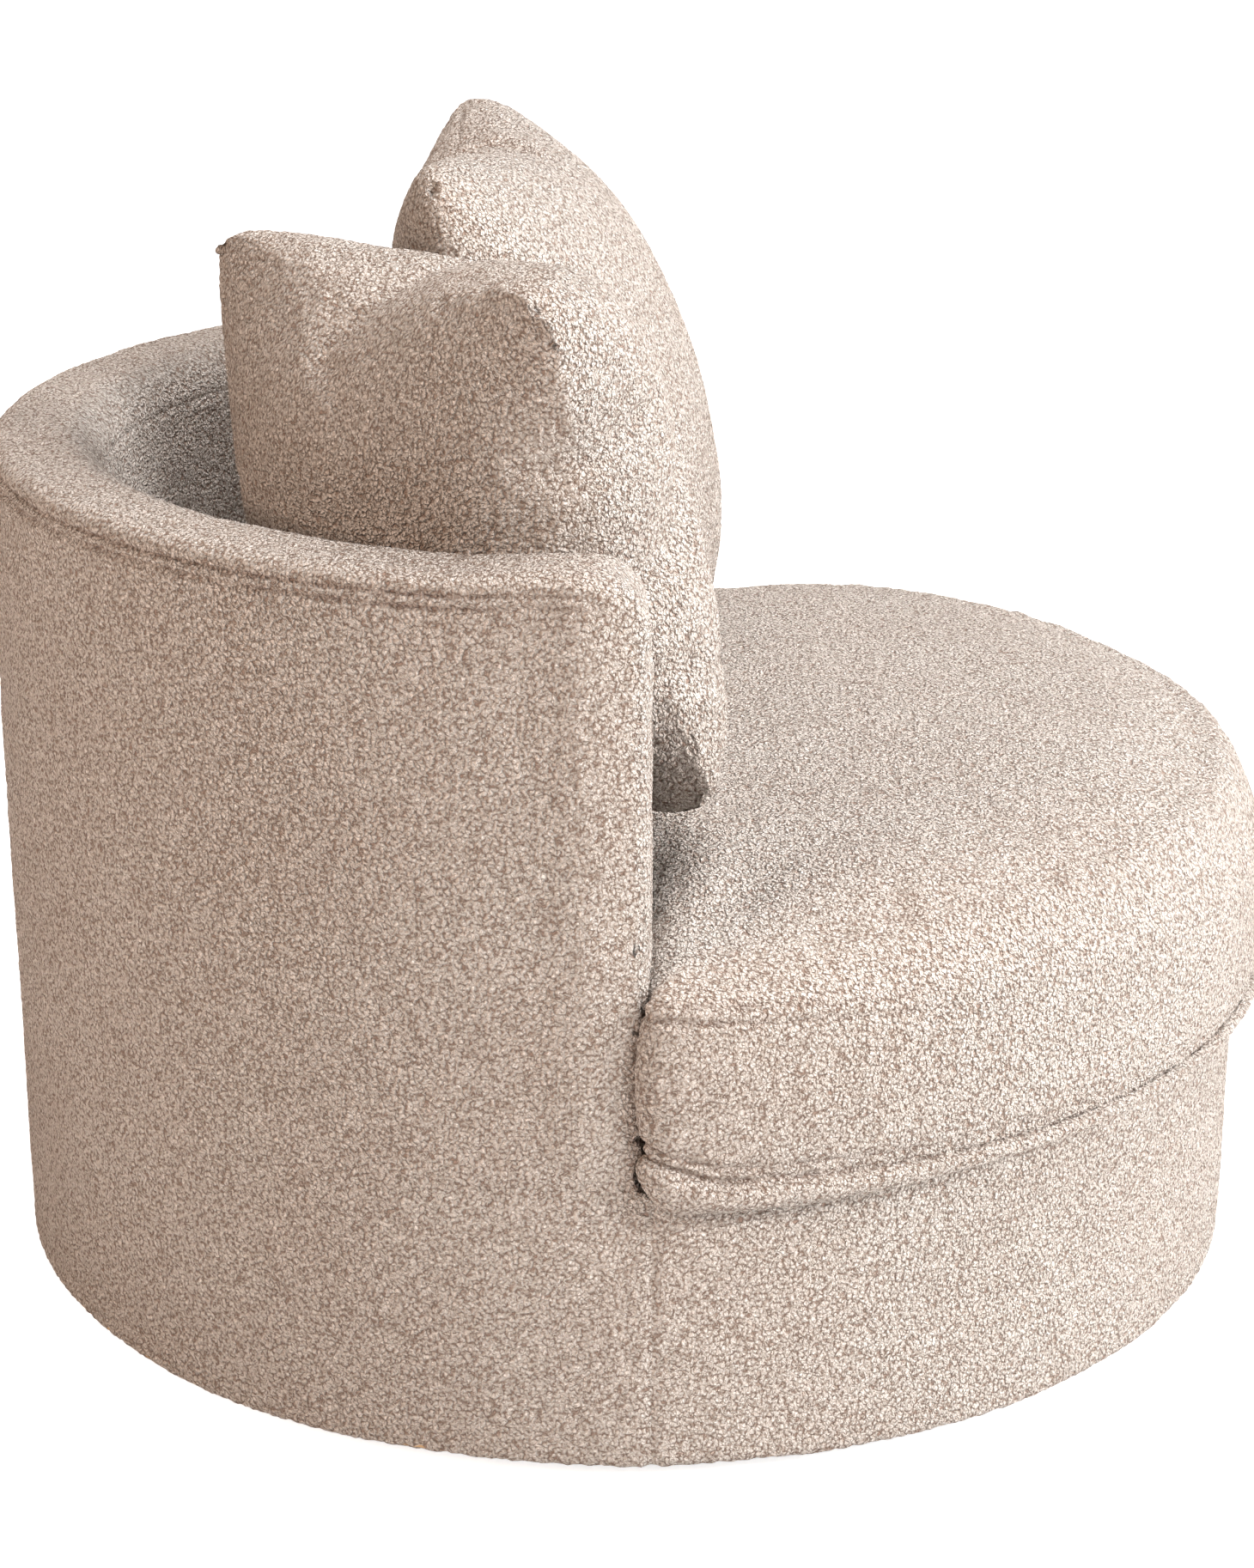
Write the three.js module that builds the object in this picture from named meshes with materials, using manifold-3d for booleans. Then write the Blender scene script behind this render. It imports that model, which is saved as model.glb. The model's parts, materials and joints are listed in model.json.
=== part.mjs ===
// A round cuddle chair: a cloth-covered drum on a hidden swivel, whose rear half rises into one level
// rim of back and arms, with a big round seat cushion and two loose pillows.
// Millimetres, +Z up, +X to the chair's front, origin on the swivel axis at the floor.
import * as THREE from "three";
import { mergeVertices } from "three/addons/utils/BufferGeometryUtils.js";
import Module from "manifold-3d";

const wasm = await Module();
wasm.setup();

// Driving dimensions of the drum
const DRUM_RADIUS = 600;
const FLOOR_GAP = 12;
const RIM_HEIGHT = 812;
const DECK_HEIGHT = 280;
const WALL = 105;
const ARM_FRONT = 18;
const ARM_CORNER = 45;
const OUTER_EDGE = 12;
const INNER_EDGE = 38;
const RIM_SEAM_DROP = 15;
const COVER_LIP = 45;

// Thicknesses of what the drum is made of
const CLOTH = 4;
const PANEL = 5;
const BACK_FOAM = 38;
const RIM_FOAM = 40;
const TIMBER = 45;
const DUST_CLOTH = 1;

// Hidden swivel and floor base
const BASE_SETBACK = 200;
const BASE_THICKNESS = 18;
const FELT = 3;
const PLATE_SIDE = 300;
const PLATE_THICKNESS = 2.5;
const BALL_RADIUS = 4;
const BALL_CIRCLE = 95;
const CAGE_THICKNESS = 2;
const CAGE_WIDTH = 14;
const PIVOT_RADIUS = 6;
const PIVOT_HEAD_RADIUS = 13;
const PIVOT_HEAD = 7;
const PIVOT_PLAY = 0.5;
const BEAM_OFFSET = 120;
const BEAM_HEIGHT = 60;
const SCREW_RADIUS = 2.5;
const SCREW_HEAD_RADIUS = 5;
const SCREW_HEAD = 2.5;
const SCREW_LENGTH = 14;

// Springs under the deck
const SPRING_RAIL_SETBACK = 108;
const SPRING_WIRE = 4;
const SPRING_WIDTH = 50;
const SPRING_DROP = 8;

// Seat cushion
const CUSHION_OVERHANG = 22;
const CUSHION_SIDE_GAP = 5;
const CUSHION_SHOULDER_GAP = 4;
const CUSHION_SHOULDER_RADIUS = 38;
const CUSHION_LOWER_SEAM = 27;
const CUSHION_BAND = 135;
const CUSHION_CROWN = 82;
const CUSHION_CENTRE = 60;
const CUSHION_ZIP_LENGTH = 300;
const CUSHION_ZIP_HEIGHT = 12;

// Pillows: width beyond the seat's inside radius, height, crowns ahead of and behind the seam, and the
// lower outer corner's place: off its arm, round the seat, and up from the seat cushion's top
const NEAR_PILLOW = {
  spareWidth: 5, height: 500, front: 112, back: 85, side: -1,
  armGap: 35, cornerAngle: -79.3, lift: 38,
  turnAngle: 37.6, leanAngle: 20.5, rollAngle: -4,
};
const FAR_PILLOW = {
  spareWidth: 35, height: 560, front: 142, back: 70, side: 1,
  armGap: 72, cornerAngle: 85, lift: 5,
  turnAngle: -2.2, leanAngle: 21, rollAngle: 0,
};
const PILLOW_SEAM = 9;
const PILLOW_SLIT = 200;
const PILLOW_SLIT_HEIGHT = 3;
const PILLOW_PULL_SHARE = 0.05;
const PILLOW_PLUMP_SHARE = 0.5;

// Gaps and cuts
const FIT = 0.3;
const SOFT_FIT = 1.5;
const OVERRUN = 60;

// Counts
const FACETS = 60;
const UPPER_POST_ANGLES = [95, 137, 180, 223, 265];
const LOWER_POSTS = 6;
const SPRINGS = 5;
const SPRING_WAVES = 9;
const BALLS = 12;
const PIVOT_SIDES = 24;
const ROD_SIDES = 8;
const PILLOW_CELLS = 12;

// Levels and radii that follow
const DEGREE = Math.PI / 180;
const FULL_TURN = 360;
const LEFT_SIDE = FULL_TURN / 4;
const RIGHT_SIDE = 3 * LEFT_SIDE;
const FACET = (2 * Math.PI) / FACETS;
const ARM_SWEEP = FULL_TURN / FACETS;
const SEAM_ANGLE = FIT / DRUM_RADIUS / DEGREE;
const FLAT_SHARE = Math.cos(FACET / 2);
const PANEL_OUTSIDE = DRUM_RADIUS - CLOTH - FIT;
const BASE_RADIUS = DRUM_RADIUS - BASE_SETBACK;
const CUSHION_FRONT_RADIUS = DRUM_RADIUS + CUSHION_OVERHANG;
const FRAME_OUTSIDE = PANEL_OUTSIDE - PANEL - FIT;
const INSIDE = DRUM_RADIUS - WALL;
const FOAM_INSIDE = INSIDE + CLOTH + FIT;
const INNER_PANEL_INSIDE = FOAM_INSIDE + BACK_FOAM + FIT;
const SPRING_RAIL_OFFSET = INNER_PANEL_INSIDE - SPRING_RAIL_SETBACK;
const POST_INSIDE = INNER_PANEL_INSIDE + PANEL + FIT;
const RING_BOTTOM = FLOOR_GAP + CLOTH + FIT;
const RING_TOP = RING_BOTTOM + TIMBER;
const SEAT_RING_TOP = DECK_HEIGHT - CLOTH - FIT;
const SEAT_RING_BOTTOM = SEAT_RING_TOP - TIMBER;
const RAIL_TOP = RIM_HEIGHT - CLOTH - FIT - RIM_FOAM - FIT;
const RAIL_BOTTOM = RAIL_TOP - TIMBER;
const RIM_SEAM = RIM_HEIGHT - RIM_SEAM_DROP;
const ARM_SEAM = ARM_FRONT - ARM_CORNER;
const BASE_BOTTOM = FELT + FIT;
const LOWER_PLATE_BOTTOM = BASE_BOTTOM + BASE_THICKNESS + FIT;
const LOWER_PLATE_TOP = LOWER_PLATE_BOTTOM + PLATE_THICKNESS;
const BALL_HEIGHT = LOWER_PLATE_TOP + FIT + BALL_RADIUS;
const UPPER_PLATE_BOTTOM = BALL_HEIGHT + BALL_RADIUS + FIT;
const UPPER_PLATE_TOP = UPPER_PLATE_BOTTOM + PLATE_THICKNESS;
const BEAM_BOTTOM = UPPER_PLATE_TOP + FIT;
const CUSHION_TOP = DECK_HEIGHT + CUSHION_LOWER_SEAM + CUSHION_BAND + CUSHION_CROWN;
const REACH = 2 * DRUM_RADIUS + RIM_HEIGHT;

// A closed solid from a geometry, with the corners that its faces share made one.
function solid(geometry) {
  const bare = geometry.clone();
  bare.deleteAttribute("normal");
  bare.deleteAttribute("uv");
  const merged = mergeVertices(bare);
  const corners = Array.from(merged.index.array);
  const kept = [];
  for (let i = 0; i < corners.length; i += 3) {
    const [a, b, c] = corners.slice(i, i + 3);
    if (a !== b && b !== c && c !== a) kept.push(a, b, c);
  }
  return new wasm.Manifold(
    new wasm.Mesh({
      numProp: 3,
      vertProperties: new Float32Array(merged.attributes.position.array),
      triVerts: new Uint32Array(kept),
    }),
  );
}

// A geometry from a closed solid.
function geometryOf(body) {
  const mesh = body.getMesh();
  const places = new Float32Array(mesh.numVert * 3);
  for (let i = 0; i < mesh.numVert; i++) {
    places.set(mesh.vertProperties.subarray(i * mesh.numProp, i * mesh.numProp + 3), i * 3);
  }
  return indexed(places, Array.from(mesh.triVerts));
}

function indexed(places, corners) {
  const geometry = new THREE.BufferGeometry();
  geometry.setAttribute("position", new THREE.BufferAttribute(Float32Array.from(places), 3));
  geometry.setIndex(corners);
  geometry.computeVertexNormals();
  return geometry;
}

// A box between two corners.
function block([x0, y0, z0], [x1, y1, z1]) {
  const box = new THREE.BoxGeometry(x1 - x0, y1 - y0, z1 - z0);
  box.translate((x0 + x1) / 2, (y0 + y1) / 2, (z0 + z1) / 2);
  return solid(box);
}

// An upright rod with its foot at a place.
function rod(radius, height, x, y, z, sides = ROD_SIDES) {
  const geometry = new THREE.CylinderGeometry(radius, radius, height, sides);
  geometry.rotateX(Math.PI / 2);
  geometry.translate(x, y, z + height / 2);
  return solid(geometry);
}

// A counter-clockwise outline of [radius, height] points swept round the Z axis, with flat ends.
// Every sweep has its corners on one shared set of angles, so nested shells keep their gap.
function sweep(outline, from = 0, to = FULL_TURN) {
  const angles = [from * DEGREE];
  const first = Math.floor((from * DEGREE) / FACET + 1.001);
  for (let k = first; k * FACET < to * DEGREE - FACET / 1000; k++) angles.push(k * FACET);
  angles.push(to * DEGREE);
  const places = [];
  for (const a of angles) {
    for (const [r, z] of outline) places.push(r * Math.cos(a), r * Math.sin(a), z);
  }
  const full = to - from === FULL_TURN;
  const n = outline.length;
  const corners = [];
  for (let k = 0; k + 1 < angles.length; k++) {
    for (let j = 0; j < n; j++) {
      const next = (j + 1) % n;
      const [a, b] = [k * n + j, k * n + next];
      corners.push(a, a + n, b + n, a, b + n, b);
    }
  }
  if (!full) {
    const flat = outline.map(([r, z]) => new THREE.Vector2(r, z));
    const last = (angles.length - 1) * n;
    for (const [a, b, c] of THREE.ShapeUtils.triangulateShape(flat, [])) {
      corners.push(a, b, c, last + a, last + c, last + b);
    }
  }
  return solid(indexed(places, corners));
}

function ring(inner, outer, bottom, top, from = 0, to = FULL_TURN) {
  const outline = [[inner, bottom], [outer, bottom], [outer, top], [inner, top]];
  return sweep(outline, from, to);
}

// Points on an arc about a centre, from one angle to another.
function arc(x, y, radius, from, to, steps) {
  return Array.from({ length: steps + 1 }, (_, i) => {
    const a = (from + ((to - from) * i) / steps) * DEGREE;
    return [x + radius * Math.cos(a), y + radius * Math.sin(a)];
  });
}

// A solid of one outline of [x, z] points across the whole chair.
function across(points) {
  const shape = new THREE.Shape(points.map(([x, z]) => new THREE.Vector2(x, z)));
  const geometry = new THREE.ExtrudeGeometry(shape, { depth: 2 * REACH, bevelEnabled: false });
  geometry.rotateX(Math.PI / 2);
  geometry.translate(0, REACH, 0);
  return solid(geometry);
}

// A flat strip of one width along a zigzag of [x, y] points, with a thickness.
function strip(points, width, bottom, thickness) {
  const side = (sign) =>
    points.map(([x, y], i) => {
      const before = points[Math.max(i - 1, 0)];
      const after = points[Math.min(i + 1, points.length - 1)];
      const a = new THREE.Vector2(x - before[0], y - before[1]);
      const b = new THREE.Vector2(after[0] - x, after[1] - y);
      if (i === 0) a.copy(b);
      if (i === points.length - 1) b.copy(a);
      const along = a.normalize().clone().add(b.normalize()).normalize();
      const reach = (sign * width) / 2 / Math.max(along.dot(b), Math.SQRT1_2);
      return new THREE.Vector2(x - along.y * reach, y + along.x * reach);
    });
  const shape = new THREE.Shape([...side(-1), ...side(1).reverse()]);
  const geometry = new THREE.ExtrudeGeometry(shape, { depth: thickness, bevelEnabled: false });
  geometry.translate(0, 0, bottom);
  return solid(geometry);
}

function finish(color, roughness, metalness = 0) {
  return new THREE.MeshStandardMaterial({ color, roughness, metalness });
}

function add(group, name, body, material) {
  const mesh = new THREE.Mesh(geometryOf(body), material.clone());
  mesh.name = name;
  group.add(mesh);
}

const BOUCLE = finish(0xc9b3a1, 0.95);
const FOAM = finish(0xe8dfb8, 0.9);
const FIBRE = finish(0xf2f0ea, 0.95);
const PLYWOOD = finish(0xc8a06c, 0.7);
const PINE = finish(0xd9b98a, 0.7);
const STEEL = finish(0x9a9da1, 0.35, 0.9);
const BLACK_CLOTH = finish(0x222222, 0.9);
const ZIP = finish(0xb9a48f, 0.6);

const chair = new THREE.Group();
const floorBase = new THREE.Group();
const seatUnit = new THREE.Group();
const seatCushion = new THREE.Group();
chair.add(floorBase, seatUnit, seatCushion);

// Floor base: felt, plywood disc, lower swivel plate, ball cage, pivot and screws
const SCREW_PLACES = [
  [BEAM_OFFSET, BEAM_OFFSET],
  [-BEAM_OFFSET, BEAM_OFFSET],
  [-BEAM_OFFSET, -BEAM_OFFSET],
  [BEAM_OFFSET, -BEAM_OFFSET],
];

function screwHoles(bottom, height) {
  return SCREW_PLACES.map(([x, y]) => rod(SCREW_RADIUS + FIT, height, x, y, bottom));
}

function cutAll(body, tools) {
  return tools.reduce((left, tool) => left.subtract(tool), body);
}

function swivelPlate(bottom, bore) {
  const half = PLATE_SIDE / 2;
  const plate = block([-half, -half, bottom], [half, half, bottom + PLATE_THICKNESS]);
  const through = PLATE_THICKNESS + 2 * OVERRUN;
  const foot = bottom - OVERRUN;
  return cutAll(plate, [rod(bore, through, 0, 0, foot, PIVOT_SIDES), ...screwHoles(foot, through)]);
}

function makeFloorBase() {
  add(floorBase, "floor_felt", ring(0, BASE_RADIUS, 0, FELT), BLACK_CLOTH);
  const bore = PIVOT_HEAD_RADIUS + FIT;
  const disc = ring(bore, BASE_RADIUS, BASE_BOTTOM, BASE_BOTTOM + BASE_THICKNESS);
  const screwFoot = LOWER_PLATE_TOP + FIT - SCREW_LENGTH;
  add(floorBase, "base_disc", cutAll(disc, screwHoles(screwFoot - FIT, SCREW_LENGTH)), PLYWOOD);
  add(floorBase, "swivel_lower_plate", swivelPlate(LOWER_PLATE_BOTTOM, PIVOT_RADIUS + FIT), STEEL);

  const cageBottom = BALL_HEIGHT - CAGE_THICKNESS / 2;
  const inner = BALL_CIRCLE - CAGE_WIDTH / 2;
  let cage = rod(inner + CAGE_WIDTH, CAGE_THICKNESS, 0, 0, cageBottom, 2 * BALLS)
    .subtract(rod(inner, CAGE_THICKNESS + 2 * OVERRUN, 0, 0, cageBottom - OVERRUN, 2 * BALLS));
  for (let i = 0; i < BALLS; i++) {
    const angle = (2 * Math.PI * i) / BALLS;
    const ball = new THREE.SphereGeometry(BALL_RADIUS, 6, 4);
    ball.rotateX(Math.PI / 2);
    ball.translate(BALL_CIRCLE * Math.cos(angle), BALL_CIRCLE * Math.sin(angle), BALL_HEIGHT);
    cage = cage.add(solid(ball));
  }
  add(floorBase, "ball_cage", cage, STEEL);

  const headFoot = LOWER_PLATE_BOTTOM - FIT - PIVOT_HEAD;
  const shank = UPPER_PLATE_TOP + FIT - headFoot;
  const bolt = rod(PIVOT_HEAD_RADIUS, PIVOT_HEAD, 0, 0, headFoot, PIVOT_SIDES)
    .add(rod(PIVOT_RADIUS, shank, 0, 0, headFoot, PIVOT_SIDES))
    .add(rod(PIVOT_HEAD_RADIUS, PIVOT_HEAD, 0, 0, UPPER_PLATE_TOP + FIT, PIVOT_SIDES));
  add(floorBase, "swivel_pivot", bolt, STEEL);
  SCREW_PLACES.forEach(([x, y], i) => {
    const screw = rod(SCREW_RADIUS, SCREW_LENGTH, x, y, screwFoot)
      .add(rod(SCREW_HEAD_RADIUS, SCREW_HEAD, x, y, LOWER_PLATE_TOP + FIT));
    add(floorBase, `base_screw_${i + 1}`, screw, STEEL);
  });
}

// Seat unit's timber: rings, top rail, posts, bearer beams and spring rails
function post(angle, bottom, top) {
  const half = TIMBER / 2;
  const outside = Math.sqrt((FRAME_OUTSIDE * FLAT_SHARE) ** 2 - half ** 2) - FIT;
  const body = new THREE.BoxGeometry(outside - POST_INSIDE, TIMBER, top - bottom);
  body.translate((outside + POST_INSIDE) / 2, 0, (top + bottom) / 2);
  body.rotateZ(angle * DEGREE);
  return solid(body);
}

// Half the length of a beam that spans the rings at a distance from the axis.
function beamReach(offset) {
  const inside = INNER_PANEL_INSIDE * FLAT_SHARE - FIT;
  return Math.sqrt(inside ** 2 - (offset + TIMBER / 2) ** 2);
}

// A beam from side to side inside the rings.
function crossBeam(x, bottom, height) {
  const half = TIMBER / 2;
  const reach = beamReach(Math.abs(x));
  return block([x - half, -reach, bottom], [x + half, reach, bottom + height]);
}

function makeFrame() {
  const bottomRing = ring(INNER_PANEL_INSIDE, FRAME_OUTSIDE, RING_BOTTOM, RING_TOP);
  add(seatUnit, "bottom_ring", bottomRing, PLYWOOD);
  const seatRing = ring(INNER_PANEL_INSIDE, FRAME_OUTSIDE, SEAT_RING_BOTTOM, SEAT_RING_TOP);
  add(seatUnit, "seat_ring", seatRing, PLYWOOD);
  const topRail = ring(POST_INSIDE, FRAME_OUTSIDE, RAIL_BOTTOM, RAIL_TOP, LEFT_SIDE, RIGHT_SIDE);
  add(seatUnit, "top_rail", topRail, PLYWOOD);
  for (let i = 0; i < LOWER_POSTS; i++) {
    const lower = post((FULL_TURN * i) / LOWER_POSTS, RING_TOP + FIT, SEAT_RING_BOTTOM - FIT);
    add(seatUnit, `lower_post_${i + 1}`, lower, PINE);
  }
  UPPER_POST_ANGLES.forEach((angle, i) => {
    const upper = post(angle, SEAT_RING_TOP + FIT, RAIL_BOTTOM - FIT);
    add(seatUnit, `upper_post_${i + 1}`, upper, PINE);
  });
  for (const [name, sign] of [["front", 1], ["rear", -1]]) {
    const beam = crossBeam(sign * BEAM_OFFSET, BEAM_BOTTOM, BEAM_HEIGHT);
    add(seatUnit, `${name}_bearer_beam`, cutAll(beam, screwHoles(UPPER_PLATE_BOTTOM, SCREW_LENGTH)), PINE);
    const rail = crossBeam(sign * SPRING_RAIL_OFFSET, SEAT_RING_BOTTOM, TIMBER);
    add(seatUnit, `${name}_spring_rail`, rail, PINE);
  }
  add(seatUnit, "swivel_upper_plate", swivelPlate(UPPER_PLATE_BOTTOM, PIVOT_RADIUS + PIVOT_PLAY), STEEL);
  SCREW_PLACES.forEach(([x, y], i) => {
    const screw = rod(SCREW_RADIUS, SCREW_LENGTH, x, y, UPPER_PLATE_BOTTOM - FIT - SCREW_HEAD)
      .add(rod(SCREW_HEAD_RADIUS, SCREW_HEAD, x, y, UPPER_PLATE_BOTTOM - FIT - SCREW_HEAD));
    add(seatUnit, `beam_screw_${i + 1}`, screw, STEEL);
  });
}

// Bent panels that the rings, rail and posts carry
function makePanels() {
  const outerInside = PANEL_OUTSIDE - PANEL;
  const innerOutside = INNER_PANEL_INSIDE + PANEL;
  const outer = ring(outerInside, PANEL_OUTSIDE, RING_BOTTOM, RAIL_TOP, LEFT_SIDE, RIGHT_SIDE);
  add(seatUnit, "outer_panel", outer, PLYWOOD);
  const side = LEFT_SIDE - SEAM_ANGLE;
  const front = ring(outerInside, PANEL_OUTSIDE, RING_BOTTOM, SEAT_RING_TOP, -side, side);
  add(seatUnit, "front_panel", front, PLYWOOD);
  const inner = ring(INNER_PANEL_INSIDE, innerOutside, DECK_HEIGHT + FIT, RAIL_TOP, LEFT_SIDE, RIGHT_SIDE);
  add(seatUnit, "inner_panel", inner, PLYWOOD);
}

// Sinuous springs from rail to rail, the deck cloth over them and the dust cover under the beams
function makeDeck() {
  const end = SPRING_RAIL_OFFSET - TIMBER / 2 - FIT;
  const spacing = (2 * beamReach(SPRING_RAIL_OFFSET)) / SPRINGS;
  const wave = (2 * end) / SPRING_WAVES;
  for (let i = 0; i < SPRINGS; i++) {
    const y = (i - (SPRINGS - 1) / 2) * spacing;
    const points = [];
    for (let k = 0; k < 2 * SPRING_WAVES; k++) {
      const side = k % 2 ? 1 : -1;
      const from = -end + (k * wave) / 2;
      points.push([from, y + (side * SPRING_WIDTH) / 2], [from + wave / 3, y + (side * SPRING_WIDTH) / 2]);
    }
    points.push([end, y + SPRING_WIDTH / 2]);
    const spring = strip(points, SPRING_WIRE, SEAT_RING_TOP - SPRING_DROP, SPRING_WIRE);
    add(seatUnit, `seat_spring_${i + 1}`, spring, STEEL);
  }
  const deckRadius = INNER_PANEL_INSIDE + PANEL;
  add(seatUnit, "deck_cloth", ring(0, deckRadius, DECK_HEIGHT - CLOTH, DECK_HEIGHT), BLACK_CLOTH);
  const hole = PLATE_SIDE * Math.SQRT1_2 + FIT;
  const dustTop = BEAM_BOTTOM - FIT;
  const dust = ring(hole, INNER_PANEL_INSIDE - FIT, dustTop - DUST_CLOTH, dustTop);
  add(seatUnit, "dust_cover", dust, BLACK_CLOTH);
}

// Section of the back and arms, set in from the outside of the cloth, as [radius, height] points
function wallSection(inset, bottom) {
  const outer = DRUM_RADIUS - inset;
  const inner = INSIDE + inset;
  const top = RIM_HEIGHT - inset;
  const outerEdge = OUTER_EDGE - inset;
  const innerEdge = INNER_EDGE - inset;
  return [
    [inner, bottom],
    [outer, bottom],
    ...arc(outer - outerEdge, top - outerEdge, outerEdge, 0, 90, 2),
    ...arc(inner + innerEdge, top - innerEdge, innerEdge, 90, 180, 4),
  ];
}

// Back and arms as one body, set in from the cloth, with the arm fronts' rounded upper corners.
function wallBody(inset, bottom) {
  const front = ARM_FRONT - inset;
  const top = RIM_HEIGHT - inset;
  const corner = ARM_CORNER - inset;
  const side = [
    [-REACH, -REACH],
    [front, -REACH],
    ...arc(front - corner, top - corner, corner, 0, 90, 4),
    [-REACH, top],
  ];
  const wall = sweep(wallSection(inset, bottom), LEFT_SIDE - ARM_SWEEP, RIGHT_SIDE + ARM_SWEEP);
  return wall.intersect(across(side));
}

function behind(x) {
  return block([-REACH, -REACH, -REACH], [x, REACH, REACH]);
}

function ahead(x) {
  return block([x, -REACH, -REACH], [REACH, REACH, REACH]);
}

function above(z) {
  return block([-REACH, -REACH, z], [REACH, REACH, REACH]);
}

function below(z) {
  return block([-REACH, -REACH, -REACH], [REACH, REACH, z]);
}

function leftHalf() {
  return block([-REACH, 0, -REACH], [REACH, REACH, REACH]);
}

function rightHalf() {
  return block([-REACH, -REACH, -REACH], [REACH, 0, REACH]);
}

// Foam of the back, rim and arm fronts
function makeFoam() {
  const back = ring(FOAM_INSIDE, FOAM_INSIDE + BACK_FOAM, DECK_HEIGHT + FIT, RAIL_TOP, LEFT_SIDE, RIGHT_SIDE);
  add(seatUnit, "back_foam", back, FOAM);
  const padding = wallBody(CLOTH + FIT, DECK_HEIGHT + FIT);
  const rim = padding.intersect(above(RAIL_TOP + FIT)).intersect(behind(0));
  add(seatUnit, "rim_foam", rim, FOAM);
  const pads = padding.intersect(ahead(FIT));
  add(seatUnit, "left_arm_pad", pads.intersect(leftHalf()), FOAM);
  add(seatUnit, "right_arm_pad", pads.intersect(rightHalf()), FOAM);
}

// Cloth of the drum: outside back, front below the cushion, rim border, inside back and arm fronts
function makeCovers() {
  const inner = DRUM_RADIUS - CLOTH;
  const lip = DRUM_RADIUS - COVER_LIP;
  const foot = [[lip, FLOOR_GAP], [DRUM_RADIUS, FLOOR_GAP]];
  const footInside = [[inner, FLOOR_GAP + CLOTH], [lip, FLOOR_GAP + CLOTH]];
  const outside = sweep(
    [...foot, [DRUM_RADIUS, RIM_SEAM - FIT], [inner, RIM_SEAM - FIT], ...footInside],
    LEFT_SIDE,
    RIGHT_SIDE,
  );
  const raised = ahead(ARM_SEAM).intersect(above(DECK_HEIGHT));
  add(seatUnit, "outer_cover", outside.subtract(raised), BOUCLE);

  const deckEdge = INNER_PANEL_INSIDE + PANEL + FIT;
  const front = sweep(
    [...foot, [DRUM_RADIUS, DECK_HEIGHT - FIT], [deckEdge, DECK_HEIGHT - FIT],
      [deckEdge, DECK_HEIGHT - CLOTH], [inner, DECK_HEIGHT - CLOTH], ...footInside],
    SEAM_ANGLE - LEFT_SIDE,
    LEFT_SIDE - SEAM_ANGLE,
  );
  add(seatUnit, "front_cover", front, BOUCLE);

  const shell = wallBody(0, DECK_HEIGHT + FIT).subtract(wallBody(CLOTH, DECK_HEIGHT - OVERRUN));
  const innerSeam = RIM_HEIGHT - INNER_EDGE;
  const rear = shell.intersect(behind(ARM_SEAM - FIT));
  const nearInside = ring(0, INSIDE + WALL / 2, DECK_HEIGHT - OVERRUN, innerSeam);
  add(seatUnit, "inner_cover", rear.intersect(nearInside), BOUCLE);
  const border = rear.intersect(above(RIM_SEAM)).add(
    rear.intersect(above(innerSeam + FIT)).intersect(ring(0, INSIDE + WALL / 2, 0, REACH)),
  );
  add(seatUnit, "rim_cover", border, BOUCLE);
  const facings = shell.intersect(ahead(ARM_SEAM));
  add(seatUnit, "left_arm_facing", facings.intersect(leftHalf()), BOUCLE);
  add(seatUnit, "right_arm_facing", facings.intersect(rightHalf()), BOUCLE);
}

// Plan of the seat cushion: a wide front that overhangs the drum, shoulders at the arm fronts and a
// narrower round rear between the arms. Half of it, from the front's middle to the rear's middle.
function cushionHalfPlan() {
  const shoulder = ARM_FRONT + CUSHION_SHOULDER_GAP;
  const r = CUSHION_SHOULDER_RADIUS;
  const rear = INSIDE * FLAT_SHARE - CUSHION_SIDE_GAP;
  const cornerY = Math.sqrt((CUSHION_FRONT_RADIUS - r) ** 2 - (shoulder + r) ** 2);
  const frontEnd = Math.atan2(cornerY, shoulder + r) / DEGREE;
  const rearStart = Math.acos(shoulder / rear) / DEGREE;
  return [
    ...arc(0, 0, CUSHION_FRONT_RADIUS, 0, frontEnd, 9),
    ...arc(shoulder + r, cornerY, r, frontEnd, 180, 3).slice(1),
    ...arc(0, 0, rear, rearStart, 180, 11),
  ];
}

// A closed body of rings: the plan shrunk about the cushion's centre by each share, at each height.
function ringed(plan, rings) {
  const places = [CUSHION_CENTRE, 0, rings[0][1]];
  for (const [share, z] of rings) {
    for (const [x, y] of plan) places.push(CUSHION_CENTRE + share * (x - CUSHION_CENTRE), share * y, z);
  }
  places.push(CUSHION_CENTRE, 0, rings[rings.length - 1][1]);
  const n = plan.length;
  const corners = [];
  for (let j = 0; j < n; j++) {
    const next = (j + 1) % n;
    corners.push(0, 1 + next, 1 + j);
    for (let k = 0; k + 1 < rings.length; k++) {
      const [a, b] = [1 + k * n + j, 1 + k * n + next];
      corners.push(a, b, b + n, a, b + n, a + n);
    }
    const top = 1 + (rings.length - 1) * n;
    corners.push(top + j, top + next, top + n);
  }
  return solid(indexed(places, corners));
}

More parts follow.
